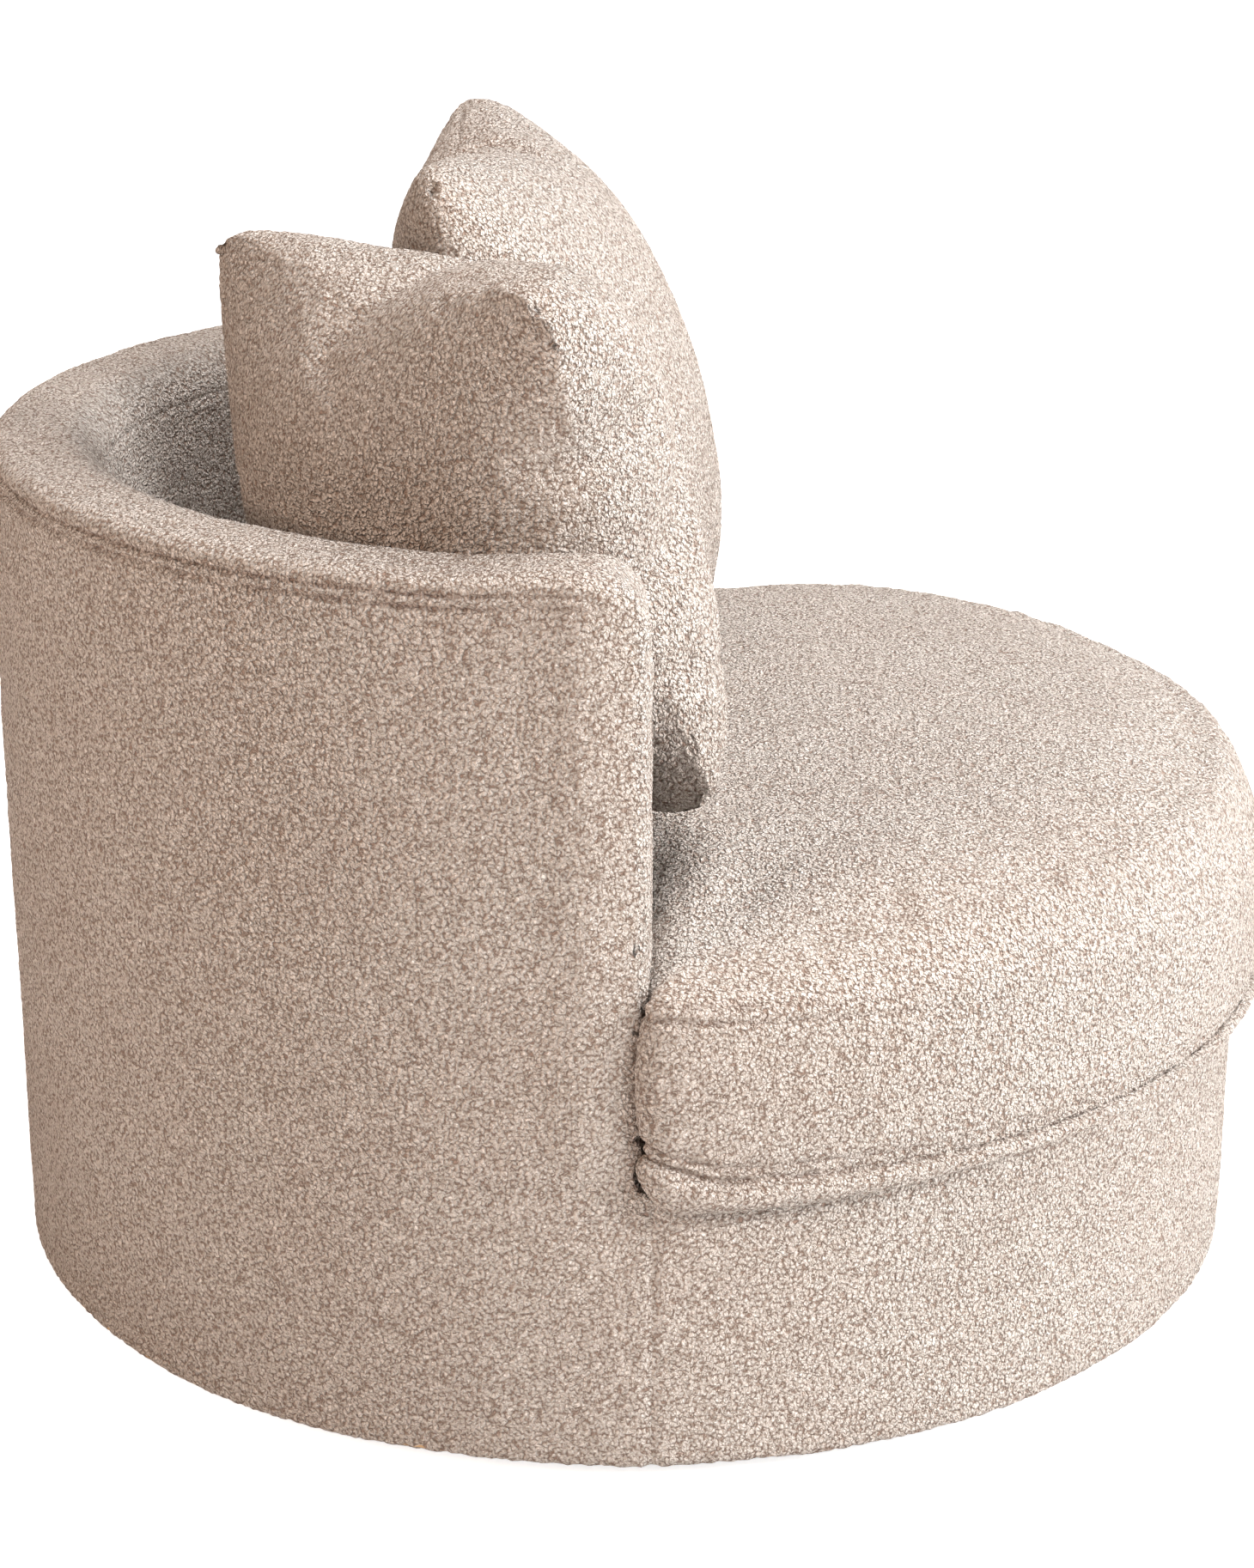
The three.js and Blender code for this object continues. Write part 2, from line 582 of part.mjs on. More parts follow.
// Seat cushion set in from its cloth's outside: flat under, bulging band, domed crown.
function cushionBody(inset) {
  const bottom = DECK_HEIGHT + FIT + inset;
  const lowerSeam = DECK_HEIGHT + CUSHION_LOWER_SEAM;
  const upperSeam = lowerSeam + CUSHION_BAND;
  const crown = CUSHION_CROWN - inset;
  const drawn = inset / CUSHION_FRONT_RADIUS;
  const half = cushionHalfPlan();
  const mirrored = half.slice(1, -1).reverse().map(([x, y]) => [x, -y]);
  const CROWN_SHARES = [[0.965, 0.25], [0.88, 0.55], [0.78, 0.75], [0.6, 0.92], [0.32, 1]];
  const UNDER_SHARES = [[0.945, 0], [0.975, 0.35]];
  return ringed([...half, ...mirrored], [
    ...UNDER_SHARES.map(([share, rise]) => [share - drawn, bottom + rise * (lowerSeam - bottom)]),
    [0.988 - drawn, lowerSeam],
    [1 - drawn, lowerSeam + CUSHION_BAND / 3],
    [1 - drawn, upperSeam - CUSHION_BAND / 3],
    [0.988 - drawn, upperSeam],
    ...CROWN_SHARES.map(([share, rise]) => [share - drawn, upperSeam + rise * crown]),
  ]);
}

function makeSeatCushion() {
  const lowerSeam = DECK_HEIGHT + CUSHION_LOWER_SEAM;
  const middle = lowerSeam + CUSHION_BAND / 2;
  const half = CUSHION_ZIP_LENGTH / 2;
  const rear = INSIDE - CUSHION_SIDE_GAP;
  const deep = 2 * CLOTH + rear - Math.sqrt(rear ** 2 - half ** 2);
  const inset = 2 * CLOTH;
  const slot = (gap) =>
    block(
      [-rear - OVERRUN, -half - gap, middle - CUSHION_ZIP_HEIGHT / 2 - gap],
      [-rear + deep, half + gap, middle + CUSHION_ZIP_HEIGHT / 2 + gap],
    );
  const outer = cushionBody(0);
  const inner = cushionBody(inset);
  add(seatCushion, "seat_cushion_cover", outer.subtract(inner).subtract(slot(FIT)), BOUCLE);
  add(seatCushion, "seat_cushion_zip", outer.subtract(inner).intersect(slot(0)), ZIP);
  add(seatCushion, "seat_cushion_core", cushionBody(inset + SOFT_FIT), FOAM);
}

// A square pillow about its own centre: seam square with drawn-in sides in the YZ plane, a crown to
// the front (+X) and another to the back.
function pillowBody(width, height, front, back) {
  const cells = PILLOW_CELLS;
  const along = (i) => Math.sin((Math.PI / 2) * ((2 * i) / cells - 1));
  const dome = (t) => (1 - t * t) ** PILLOW_PLUMP_SHARE;
  const places = [];
  const corners = [];
  for (const crown of [front, -back]) {
    for (let i = 0; i <= cells; i++) {
      for (let j = 0; j <= cells; j++) {
        const [u, v] = [along(i), along(j)];
        const y = (width / 2) * u * (1 - PILLOW_PULL_SHARE * Math.cos((Math.PI * v) / 2));
        const z = (height / 2) * v * (1 - PILLOW_PULL_SHARE * Math.cos((Math.PI * u) / 2));
        places.push(crown * dome(u) * dome(v), y, z);
      }
    }
  }
  const row = cells + 1;
  for (let i = 0; i < cells; i++) {
    for (let j = 0; j < cells; j++) {
      const a = i * row + j;
      corners.push(a, a + row, a + row + 1, a, a + row + 1, a + 1);
      const b = row * row + a;
      corners.push(b, b + row + 1, b + row, b, b + 1, b + row + 1);
    }
  }
  return solid(indexed(places, corners));
}

// A pillow stood by its lower outer corner.
function makePillow(name, { spareWidth, height, front, back, side, armGap, cornerAngle, lift, ...pose }) {
  const { turnAngle, leanAngle, rollAngle } = pose;
  const width = INSIDE + spareWidth;
  const out = INSIDE - armGap;
  const round = cornerAngle * DEGREE;
  const corner = new THREE.Vector3(out * Math.cos(round), out * Math.sin(round), CUSHION_TOP + lift);
  const pillow = new THREE.Group();
  pillow.rotation.set(rollAngle * DEGREE, -leanAngle * DEGREE, turnAngle * DEGREE, "ZYX");
  const reach = new THREE.Vector3(0, (side * width) / 2, -height / 2).applyEuler(pillow.rotation);
  pillow.position.copy(corner).sub(reach);
  const seam = 2 * PILLOW_SEAM;
  const hollow = pillowBody(width - seam, height - seam, front - CLOTH, back - CLOTH);
  const slit = block(
    [-PILLOW_SLIT_HEIGHT / 2, -PILLOW_SLIT / 2, -height / 2 - OVERRUN],
    [PILLOW_SLIT_HEIGHT / 2, PILLOW_SLIT / 2, -height / 2 + OVERRUN],
  );
  const cover = pillowBody(width, height, front, back).subtract(hollow).subtract(slit);
  add(pillow, `${name}_pillow_cover`, cover, BOUCLE);
  const room = CLOTH + SOFT_FIT;
  const loose = seam + 2 * SOFT_FIT;
  const filling = pillowBody(width - loose, height - loose, front - room, back - room);
  add(pillow, `${name}_pillow_filling`, filling, FIBRE);
  chair.add(pillow);
}

makeFloorBase();
makeFrame();
makePanels();
makeDeck();
makeFoam();
makeCovers();
makeSeatCushion();
makePillow("near", NEAR_PILLOW);
makePillow("far", FAR_PILLOW);

export default chair;
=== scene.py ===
import json
import math

import bmesh
import bpy
import numpy as np
from mathutils import Euler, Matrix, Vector


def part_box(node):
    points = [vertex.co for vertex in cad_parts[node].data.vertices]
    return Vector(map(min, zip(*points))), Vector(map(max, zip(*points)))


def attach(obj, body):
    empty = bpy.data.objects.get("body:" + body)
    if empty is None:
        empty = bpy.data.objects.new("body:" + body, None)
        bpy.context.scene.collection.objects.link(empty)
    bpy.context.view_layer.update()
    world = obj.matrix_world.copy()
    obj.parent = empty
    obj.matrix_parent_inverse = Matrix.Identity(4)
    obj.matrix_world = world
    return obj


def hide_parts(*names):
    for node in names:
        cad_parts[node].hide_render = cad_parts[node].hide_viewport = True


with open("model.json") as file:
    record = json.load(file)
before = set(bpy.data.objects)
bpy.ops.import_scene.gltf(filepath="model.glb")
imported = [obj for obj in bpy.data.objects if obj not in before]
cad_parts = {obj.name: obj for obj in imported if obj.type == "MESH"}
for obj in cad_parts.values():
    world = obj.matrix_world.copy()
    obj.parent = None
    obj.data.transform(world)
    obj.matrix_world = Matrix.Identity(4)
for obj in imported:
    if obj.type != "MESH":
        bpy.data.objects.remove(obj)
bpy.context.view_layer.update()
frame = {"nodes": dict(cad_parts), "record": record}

# Camera, as fitted to the photograph
CAMERA_PLACE = (0.0006, -3.4048, 1.6112)
CAMERA_PITCH = 70.9745
CAMERA_LENS = 83.69
SENSOR = 36.0

# Sizes read from the frame: a node's box has a low and a high corner
outer_low, outer_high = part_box("outer_cover")
cushion_low, cushion_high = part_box("seat_cushion_cover")
DRUM_RADIUS = outer_high.y
FLOOR_GAP = outer_low.z
OUTER_SEAM = outer_high.z
RIM_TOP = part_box("rim_cover")[1].z
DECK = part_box("front_cover")[1].z
ARM_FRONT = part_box("left_arm_facing")[1].x
CUSHION_RADIUS = cushion_high.x
CUSHION_REAR = -cushion_low.x
CUSHION_TOP = cushion_high.z

# Upholstery of the drum: the padded wall, its cloth, and the radii of its edges
WALL = 0.105
CLOTH = 0.004
ARM_CORNER = 0.045
ARM_EDGE = 0.013
OUTER_EDGE = 0.016
INNER_EDGE = 0.040
FOOT_EDGE = 0.008
FOOT_LIP = 0.045
RIM_CROWN = 0.002

# Seat cushion: its middle, and its front corners beside the arms
CUSHION_CENTRE = 0.06
SHOULDER_GAP = 0.004
SHOULDER_RADIUS = 0.020
SHOULDER_SWELL = 0.015
SHOULDER_LIFT = 0.009
NOTCH_RADIUS = 0.02

# Cloth: spacing of mesh points, width and height of its tufts
STEP = 0.0045
TUFT = 0.0080
TUFT_HEIGHT = 0.0015

DEGREE = math.pi / 180


def smooth(t):
    t = np.clip(t, 0, 1)
    return t * t * (3 - 2 * t)


def bump(distance, width):
    """1 on a line, falling to 0 at a width away from it."""
    return np.exp(-((distance / width) ** 2))


def read_off(x, table):
    """Values at x between the pairs of a short table."""
    spots, values = zip(*table)
    return np.interp(x, spots, values)


# Lattice noise in numpy, from a hash of whole-number places
HASH_STEPS = (374761393, 668265263, 1440670441)
HASH_SEED = 974634777
HASH_MIX = 1274126177
WORD = 0xFFFFFFFF
FRACTION = 0xFFFFFF


def lattice(cell, seed):
    """An even random number from 0 to 1 for each place of a lattice."""
    cell = cell.astype(np.int64)
    mixed = sum(cell[..., k] * step for k, step in enumerate(HASH_STEPS))
    mixed = (mixed + seed * HASH_SEED) & WORD
    mixed = ((mixed ^ (mixed >> 13)) * HASH_MIX) & WORD
    return ((mixed ^ (mixed >> 16)) & FRACTION) / (FRACTION + 1.0)


def wave(points, size, seed):
    """Smooth value noise from -1 to 1."""
    q = points / size
    base = np.floor(q)
    f = q - base
    f = f * f * (3 - 2 * f)
    total = 0
    for corner in np.ndindex(2, 2, 2):
        share = np.abs(1 - np.array(corner) - f).prod(axis=-1)
        total = total + share * lattice(base + np.array(corner), seed)
    return 2 * total - 1


def tufts(points, size, seed):
    """Round curls packed side by side: 1 at a curl's middle, 0 in the creases between curls."""
    warp = np.stack([wave(points, size * 1.3, seed + k) for k in (1, 2, 3)], axis=-1)
    q = points / size + 0.35 * warp
    base = np.floor(q)
    nearest = np.full(q.shape[:-1], 9.0)
    for step in np.ndindex(3, 3, 3):
        cell = base + np.array(step) - 1
        spot = np.stack([lattice(cell, seed + k) for k in (11, 12, 13)], axis=-1)
        nearest = np.minimum(nearest, ((cell + spot - q) ** 2).sum(-1))
    return 1 - np.clip(nearest / 0.8, 0, 1)


def pile(points, normals):
    """Points lifted along their normals by the curls of the cloth, and how open the pile is at each."""
    curl = tufts(points, TUFT, 5)
    uneven = wave(points, 0.022, 31)
    height = np.clip(0.75 * curl + 0.25 * (0.5 + 0.5 * uneven), 0, 1)
    return points + normals * ((height - 0.5) * 2 * TUFT_HEIGHT)[..., None], 0.8 + 0.2 * height


# Mesh building


def make(name, points, faces, material, pile_and_shade=None):
    mesh = bpy.data.meshes.new(name)
    mesh.from_pydata([tuple(p) for p in points], [], faces)
    mesh.update()
    mesh.polygons.foreach_set("use_smooth", [True] * len(mesh.polygons))
    piece = bpy.data.objects.new(name, mesh)
    bpy.context.scene.collection.objects.link(piece)
    mesh.materials.append(material)
    # The pile attribute holds the pile's height, and painted shade along seams and beside the seat cushion
    if pile_and_shade is not None:
        layer = mesh.attributes.new("pile", "FLOAT", "POINT")
        layer.data.foreach_set("value", np.asarray(pile_and_shade, np.float32))
    return piece


def quads(index):
    """Faces of a grid of point numbers."""
    a, b = index[:-1, :-1].ravel(), index[1:, :-1].ravel()
    c, d = index[1:, 1:].ravel(), index[:-1, 1:].ravel()
    return np.stack([a, b, c, d], axis=1).tolist()


def grid_normals(grid):
    along = np.gradient(grid, axis=0)
    up = np.gradient(grid, axis=1)
    n = np.cross(along, up)
    return n / np.maximum(np.linalg.norm(n, axis=-1, keepdims=True), 1e-12)


def sharpened(piece, border):
    """Marks the edges between a shell's front and its turned-in border as sharp."""
    mesh = piece.data
    ends = np.zeros(len(mesh.edges) * 2, np.int32)
    mesh.edges.foreach_get("vertices", ends)
    flags = np.isin(ends.reshape(-1, 2), border).all(axis=1)
    sharp = mesh.attributes.new("sharp_edge", "BOOLEAN", "EDGE")
    sharp.data.foreach_set("value", flags)


def merged(piece):
    """Joins points of a piece that lie in one place."""
    shape = bmesh.new()
    shape.from_mesh(piece.data)
    bmesh.ops.remove_doubles(shape, verts=shape.verts, dist=0.00002)
    bmesh.ops.dissolve_degenerate(shape, edges=shape.edges, dist=0.00001)
    shape.to_mesh(piece.data)
    shape.free()


BACK_ROWS = 8


def shell(name, base, normals, front, pile_and_shade, material, caps=(True, True)):
    """A sheet of cloth with thickness: a fine front, a coarse back on the base grid, and closed edges."""
    n, m = front.shape[:2]
    picks = sorted({0, m - 1, *range(0, m - 1, BACK_ROWS)})
    back = base[:, picks] - normals[:, picks] * CLOTH
    points = np.concatenate([front.reshape(-1, 3), back.reshape(-1, 3)])
    fine = np.arange(n * m).reshape(n, m)
    coarse = n * m + np.arange(n * len(picks)).reshape(n, len(picks))
    faces = quads(fine) + quads(coarse[:, ::-1])
    faces += quads(np.stack([coarse[:, 0], fine[:, 0]], axis=1))
    faces += quads(np.stack([fine[:, -1], coarse[:, -1]], axis=1))
    border = [fine[:, 0], fine[:, -1]]
    if caps[0]:
        faces.append([*fine[0, :].tolist(), *coarse[0, ::-1].tolist()])
        border.append(fine[0, :])
    if caps[1]:
        faces.append([*fine[-1, ::-1].tolist(), *coarse[-1, :].tolist()])
        border.append(fine[-1, :])
    height = np.concatenate([pile_and_shade.ravel(), np.ones(back.shape[0] * back.shape[1])])
    piece = make(name, points, faces, material, height)
    sharpened(piece, np.concatenate(border))
    return piece


# Node materials


class Finish:
    """A material whose nodes are added by short calls."""

    def __init__(self, name, roughness, metallic=0.0, sheen=0.0):
        self.material = bpy.data.materials.new(name)
        self.material.use_nodes = True
        self.tree = self.material.node_tree
        self.shader = self.tree.nodes["Principled BSDF"]
        self.fill(self.shader, Roughness=roughness, Metallic=metallic, Sheen_Weight=sheen)
        self.place = self.add("ShaderNodeTexCoord").outputs["Object"]

    def add(self, kind, **values):
        node = self.tree.nodes.new(kind)
        for name, value in values.items():
            setattr(node, name, value)
        return node

    def feed(self, socket, value):
        if isinstance(value, bpy.types.NodeSocket):
            self.tree.links.new(value, socket)
        else:
            socket.default_value = value

    def fill(self, node, **values):
        """Feeds a node's inputs by their names, with an underscore for a space."""
        for name, value in values.items():
            self.feed(node.inputs[name.replace("_", " ")], value)
        return node

    def chain(self, kind, inputs, **values):
        """Feeds a new node's inputs in order, and gives its first output."""
        node = self.add(kind, **values)
        for socket, value in zip(node.inputs, inputs):
            self.feed(socket, value)
        return node.outputs[0]

    def math(self, operation, a, b):
        return self.chain("ShaderNodeMath", (a, b), operation=operation)

    def vector(self, operation, a, b):
        return self.chain("ShaderNodeVectorMath", (a, b), operation=operation)

    def spread(self, value, low, high, to_low, to_high):
        return self.chain("ShaderNodeMapRange", (value, low, high, to_low, to_high))

    def noise(self, scale, detail=2.0, distortion=0.0, place=None):
        node = self.add("ShaderNodeTexNoise")
        self.fill(node, Vector=place or self.place, Scale=scale, Detail=detail, Distortion=distortion)
        return node.outputs["Fac"]

    def cells(self, scale, place, feature, **values):
        node = self.add("ShaderNodeTexVoronoi", feature=feature)
        return self.fill(node, Vector=place, Scale=scale, **values).outputs["Distance"]

    def ramp(self, value, *stops):
        node = self.add("ShaderNodeValToRGB")
        self.fill(node, Fac=value)
        elements = node.color_ramp.elements
        while len(elements) < len(stops):
            elements.new(0.5)
        for element, (spot, colour) in zip(elements, stops):
            element.position = spot
            element.color = (*colour, 1)
        return node.outputs["Color"]

    def multiplied(self, a, b):
        """The product of two colours."""
        node = self.add("ShaderNodeMix", data_type="RGBA", blend_type="MULTIPLY")
        for k, value in ((0, 1.0), (6, a), (7, b)):
            self.feed(node.inputs[k], value)
        return node.outputs[2]

    def warped(self, scale, amount):
        """Coordinates pushed about by noise."""
        noise = self.fill(self.add("ShaderNodeTexNoise"), Vector=self.place, Scale=scale, Detail=1.0)
        centred = self.vector("SUBTRACT", noise.outputs["Color"], (0.5, 0.5, 0.5))
        return self.vector("ADD", self.place, self.vector("MULTIPLY", centred, (amount, amount, amount)))

    def stretched(self, *scale):
        """Coordinates with their own scale along each axis."""
        return self.fill(self.add("ShaderNodeMapping"), Vector=self.place, Scale=scale).outputs[0]

    def dressed(self, colour, height, distance):
        """Gives the material its colour, and relief of a distance from a height."""
        bump_node = self.fill(self.add("ShaderNodeBump"), Height=height, Distance=distance)
        self.fill(self.shader, Base_Color=colour, Normal=bump_node.outputs["Normal"])
        return self.material


# Curls of the boucle: cells to a metre, squared reach at which a curl ends, and its share of the height
CURLS = [(305.0, 0.62, 0.75), (480.0, 0.50, 0.25)]
# Tones by curl height: the curls' own cream at their tops, and painted shade darkening the creases deep
# between curls
CURL_TONES_AND_CREASE_SHADE = [
    (0.05, (0.30, 0.215, 0.17)),
    (0.35, (0.58, 0.48, 0.41)),
    (0.62, (0.80, 0.715, 0.65)),
    (1.00, (0.95, 0.89, 0.835)),
]


def boucle():
    """Teddy boucle: packed curls of two sizes, with painted shade deep in the creases between them, along
    the seams and in the gap beside the seat cushion.
    """
    cloth = Finish("boucle", roughness=0.95, sheen=0.1)
    cloth.fill(cloth.shader, Sheen_Roughness=0.6, Sheen_Tint=(1.0, 0.95, 0.9, 1), Specular_IOR_Level=0.1)
    moved = cloth.warped(280.0, 0.0050)
    layers = []
    for scale, reach, share in CURLS:
        distance = cloth.cells(scale, moved, "F1")
        dome = cloth.spread(cloth.math("MULTIPLY", distance, distance), 0.0, reach, 1.0, 0.0)
        layers.append(cloth.math("MULTIPLY", dome, share))
    height = cloth.math("ADD", *layers)
    # The curls' colour, with painted shade in the creases
    tone = cloth.ramp(height, *CURL_TONES_AND_CREASE_SHADE)
    tint = cloth.ramp(cloth.noise(7.0), (0.3, (0.96, 0.94, 0.93)), (0.7, (1.0, 1.0, 1.0)))
    # Painted shade: where the pile attribute falls below 0.8, along seams and beside the seat cushion, the
    # cloth is darkened
    pile_and_shade_fac = cloth.add("ShaderNodeAttribute", attribute_name="pile").outputs["Fac"]
    painted_shade = cloth.ramp(pile_and_shade_fac, (0.0, (0.34, 0.22, 0.17)), (0.8, (1.0, 1.0, 1.0)))
    return cloth.dressed(cloth.multiplied(tone, cloth.multiplied(tint, painted_shade)), height, 0.0090)


BOUCLE = boucle()


def black_cloth():
    cloth = Finish("black_cloth", roughness=0.95)
    weave = cloth.noise(900.0, 1.0)
    tone = cloth.ramp(weave, (0.3, (0.010, 0.010, 0.011)), (0.7, (0.035, 0.034, 0.034)))
    return cloth.dressed(tone, weave, 0.0006)


def foam():
    block = Finish("foam", roughness=0.95)
    pores = block.cells(700.0, block.place, "SMOOTH_F1", Smoothness=0.35)
    tone = block.ramp(pores, (0.2, (0.82, 0.75, 0.50)), (0.7, (0.66, 0.58, 0.36)))
    return block.dressed(tone, pores, 0.0006)


def fibre():
    wadding = Finish("fibre", roughness=0.95, sheen=0.3)
    strands = wadding.noise(180.0, 4.0, 2.5)
    tone = wadding.ramp(strands, (0.3, (0.76, 0.75, 0.72)), (0.7, (0.93, 0.92, 0.90)))
    return wadding.dressed(tone, strands, 0.002)


def timber(name, dark, pale, across, along):
    """Wood with grain that runs up the piece, or in flat layers."""
    wood = Finish(name, roughness=0.65)
    place = wood.stretched(across, across, along)
    grain = wood.math("MULTIPLY", wood.noise(1.0, 5.0, 1.2, place), 0.7)
    fine = wood.math("MULTIPLY", wood.noise(3.5, 3.0, 0.4, place), 0.3)
    both = wood.math("ADD", grain, fine)
    return wood.dressed(wood.ramp(both, (0.35, dark), (0.65, pale)), both, 0.0005)


def steel():
    metal = Finish("steel", roughness=0.35, metallic=1.0)
    brush = metal.noise(1.0, 3.0, 0.0, metal.stretched(40.0, 900.0, 900.0))
    metal.fill(metal.shader, Roughness=metal.spread(brush, 0.3, 0.7, 0.28, 0.42))
    tone = metal.ramp(brush, (0.3, (0.46, 0.47, 0.48)), (0.7, (0.62, 0.63, 0.64)))
    return metal.dressed(tone, brush, 0.0001)


def zipper():
    tape = Finish("zip", roughness=0.5)
    bands = tape.add("ShaderNodeTexWave", wave_type="BANDS", bands_direction="Y")
    teeth = tape.fill(bands, Vector=tape.place, Scale=120.0).outputs["Fac"]
    tone = tape.ramp(teeth, (0.3, (0.25, 0.18, 0.13)), (0.7, (0.52, 0.42, 0.34)))
    return tape.dressed(tone, teeth, 0.001)


SLOT_FINISHES = {
    "boucle": BOUCLE,
    "black_cloth": black_cloth(),
    "foam": foam(),
    "fibre": fibre(),
    "plywood": timber("plywood", (0.42, 0.26, 0.13), (0.66, 0.46, 0.26), 12.0, 500.0),
    "pine": timber("pine", (0.52, 0.33, 0.17), (0.76, 0.56, 0.34), 110.0, 5.0),
    "steel": steel(),
    "zip": zipper(),
}
for part in frame["record"]["subparts"]:
    node = frame["nodes"][part["node"]]
    node.data.materials.clear()
    node.data.materials.append(SLOT_FINISHES[part["material_slot"]])

# Section of the back and arms: how far out from the drum's radius, and height


def arc_points(x, z, radius, start, end):
    steps = max(2, round(abs(end - start) * DEGREE * radius / (0.8 * STEP)))
    angles = np.linspace(start, end, steps + 1) * DEGREE
    return np.stack([x + radius * np.cos(angles), z + radius * np.sin(angles)], axis=1)


def line_points(a, b, step=STEP):
    steps = max(1, round(math.dist(a, b) / step))
    return np.linspace(a, b, steps + 1)


def joined(*runs):
    points = [runs[0]]
    for run in runs[1:]:
        points.append(run[1:])
    return np.concatenate(points)


# Heights, and how far the padded side stands out there from a straight cylinder
BULGE = [
    (0.012, -0.003),
    (0.10, -0.001),
    (0.18, 0.000),
    (0.27, 0.001),
    (0.40, 0.002),
    (0.52, 0.0025),
    (0.66, 0.002),
    (0.76, 0.001),
    (0.797, 0.0),
]


def section_sides(section):
    """Unit normals of an open run of points, to its right-hand side."""
    t = np.gradient(section, axis=0)
    t /= np.linalg.norm(t, axis=1, keepdims=True)
    return np.stack([t[:, 1], -t[:, 0]], axis=1)


DECK_CLEARANCE = 0.0006
SEAM_ALLOWANCE = 0.02
FINE_STEP = 0.0025
upper_foot = DECK + DECK_CLEARANCE
outer_run = line_points((0, upper_foot), (0, OUTER_SEAM - SEAM_ALLOWANCE))
seam_run = line_points((0, OUTER_SEAM - SEAM_ALLOWANCE), (0, OUTER_SEAM), FINE_STEP)
edge_run = arc_points(-OUTER_EDGE, RIM_TOP - OUTER_EDGE, OUTER_EDGE, 0, 90)
edge_run[0] = (0, RIM_TOP - OUTER_EDGE)
top_run = line_points((-OUTER_EDGE, RIM_TOP), (-WALL + INNER_EDGE, RIM_TOP))
inner_run = arc_points(-WALL + INNER_EDGE, RIM_TOP - INNER_EDGE, INNER_EDGE, 90, 180)
down_run = line_points((-WALL, RIM_TOP - INNER_EDGE), (-WALL, upper_foot))
section = joined(outer_run, seam_run, edge_run, top_run, inner_run, down_run)
section_normals = section_sides(section)

# Rows of the whole upper wall: outside from the deck up, over the rim, and down the inside
row_depth = section[:, 0]
row_height = section[:, 1]
rows_up = len(row_depth)
seam_row = len(outer_run) + len(seam_run) - 2
inner_seam_row = len(section) - len(down_run)
on_rim = (row_height > RIM_TOP - ARM_CORNER - 0.04).astype(float)
corner_share = smooth((row_height - (RIM_TOP - 0.152)) / 0.09)
end_radius = ARM_EDGE + (ARM_CORNER - ARM_EDGE) * corner_share

# Columns round an arm's front edge, and from there to the middle of its front
EDGE_STEPS = 16
FACE_STEPS = 11
FACE_CROWN = 0.003
FACE_TOP = RIM_TOP - 0.09


def rim_puff(x):
    """The rim's cloth stands a little higher near the arm fronts."""
    return 0.005 * smooth((x + 0.16) / 0.12)


def quarter(t):
    """Height of a quarter circle: 1 at its start, and 0 at its foot."""
    return np.sqrt(1 - np.clip(t, 0, 1) ** 2)


def arm_top(x):
    """Height of the rim's top at a distance forward, with the rounded upper corner."""
    return RIM_TOP - ARM_CORNER * (1 - quarter((x - ARM_FRONT + ARM_CORNER) / ARM_CORNER))


def arm_inset(x):
    """How far the arm's sides draw in on their way round to its front."""
    return ARM_EDGE * (1 - quarter((x - ARM_FRONT + ARM_EDGE) / ARM_EDGE))


def arm_turn(x):
    """How far the arm's outside draws in: it swells a little and then turns in before its front edge."""
    return 0.002 * np.clip((x + 0.045) / 0.063, 0, 1) ** 2 - 0.0045 * bump(x + 0.034, 0.030)


def wall_column(x, share, side):
    """A column of the wall: x per row near an arm's front, or a share of the way round from the left arm."""
    inset = arm_inset(x) if share is None else 0.0
    radius = DRUM_RADIUS + row_depth - inset * section_normals[:, 0]
    outside = smooth(1 + row_depth / 0.02)
    radius = radius + outside * read_off(row_height, BULGE)
    above = smooth((row_height - DECK) / 0.03)
    if share is None:
        radius = radius - outside * above * arm_turn(x)
        y = side * np.sqrt(np.maximum(radius**2 - x**2, 0))
        height = DECK + (row_height - DECK) * (arm_top(x) - DECK) / (RIM_TOP - DECK)
    else:
        start = np.arccos((ARM_FRONT - end_radius) / radius)
        angle = start + share * (2 * math.pi - 2 * start)
        radius = radius - outside * above * arm_turn(radius * np.cos(angle))
        x, y = radius * np.cos(angle), radius * np.sin(angle)
        height = row_height
    crown = RIM_CROWN * np.sin(math.pi * np.clip(-row_depth / WALL, 0, 1)) * on_rim
    return np.stack([x, y, height + crown + on_rim * rim_puff(x)], axis=1)


def face_column(edge, t):
    """A column of an arm's front face, on its way from the edge to the face's upright middle."""
    side = math.copysign(1.0, edge[0, 1])
    middle = np.full(rows_up, side * (DRUM_RADIUS - WALL / 2))
    spine = np.stack([edge[:, 0], middle, np.minimum(edge[:, 2], FACE_TOP)], axis=1)
    column = edge + (spine - edge) * t
    column[:, 0] += FACE_CROWN * math.sin(math.pi / 2 * t)
    return column


def arm_columns(side):
    """The columns of one arm's end, from the start of its front edge to the middle of its front."""
    angles = np.linspace(0, 90, EDGE_STEPS + 1) * DEGREE
    end = [wall_column(ARM_FRONT - end_radius + end_radius * math.sin(a), None, side) for a in angles]
    return end + [face_column(end[-1], k / FACE_STEPS) for k in range(1, FACE_STEPS + 1)]


arc_steps = round(math.pi * DRUM_RADIUS / STEP)
left_columns, right_columns = arm_columns(1), arm_columns(-1)
arc_columns = [wall_column(None, k / arc_steps, 1) for k in range(1, arc_steps)]
wall = np.stack(left_columns[::-1] + arc_columns + right_columns)
arc_first = len(left_columns) - 1
arc_last = len(wall) - len(left_columns)

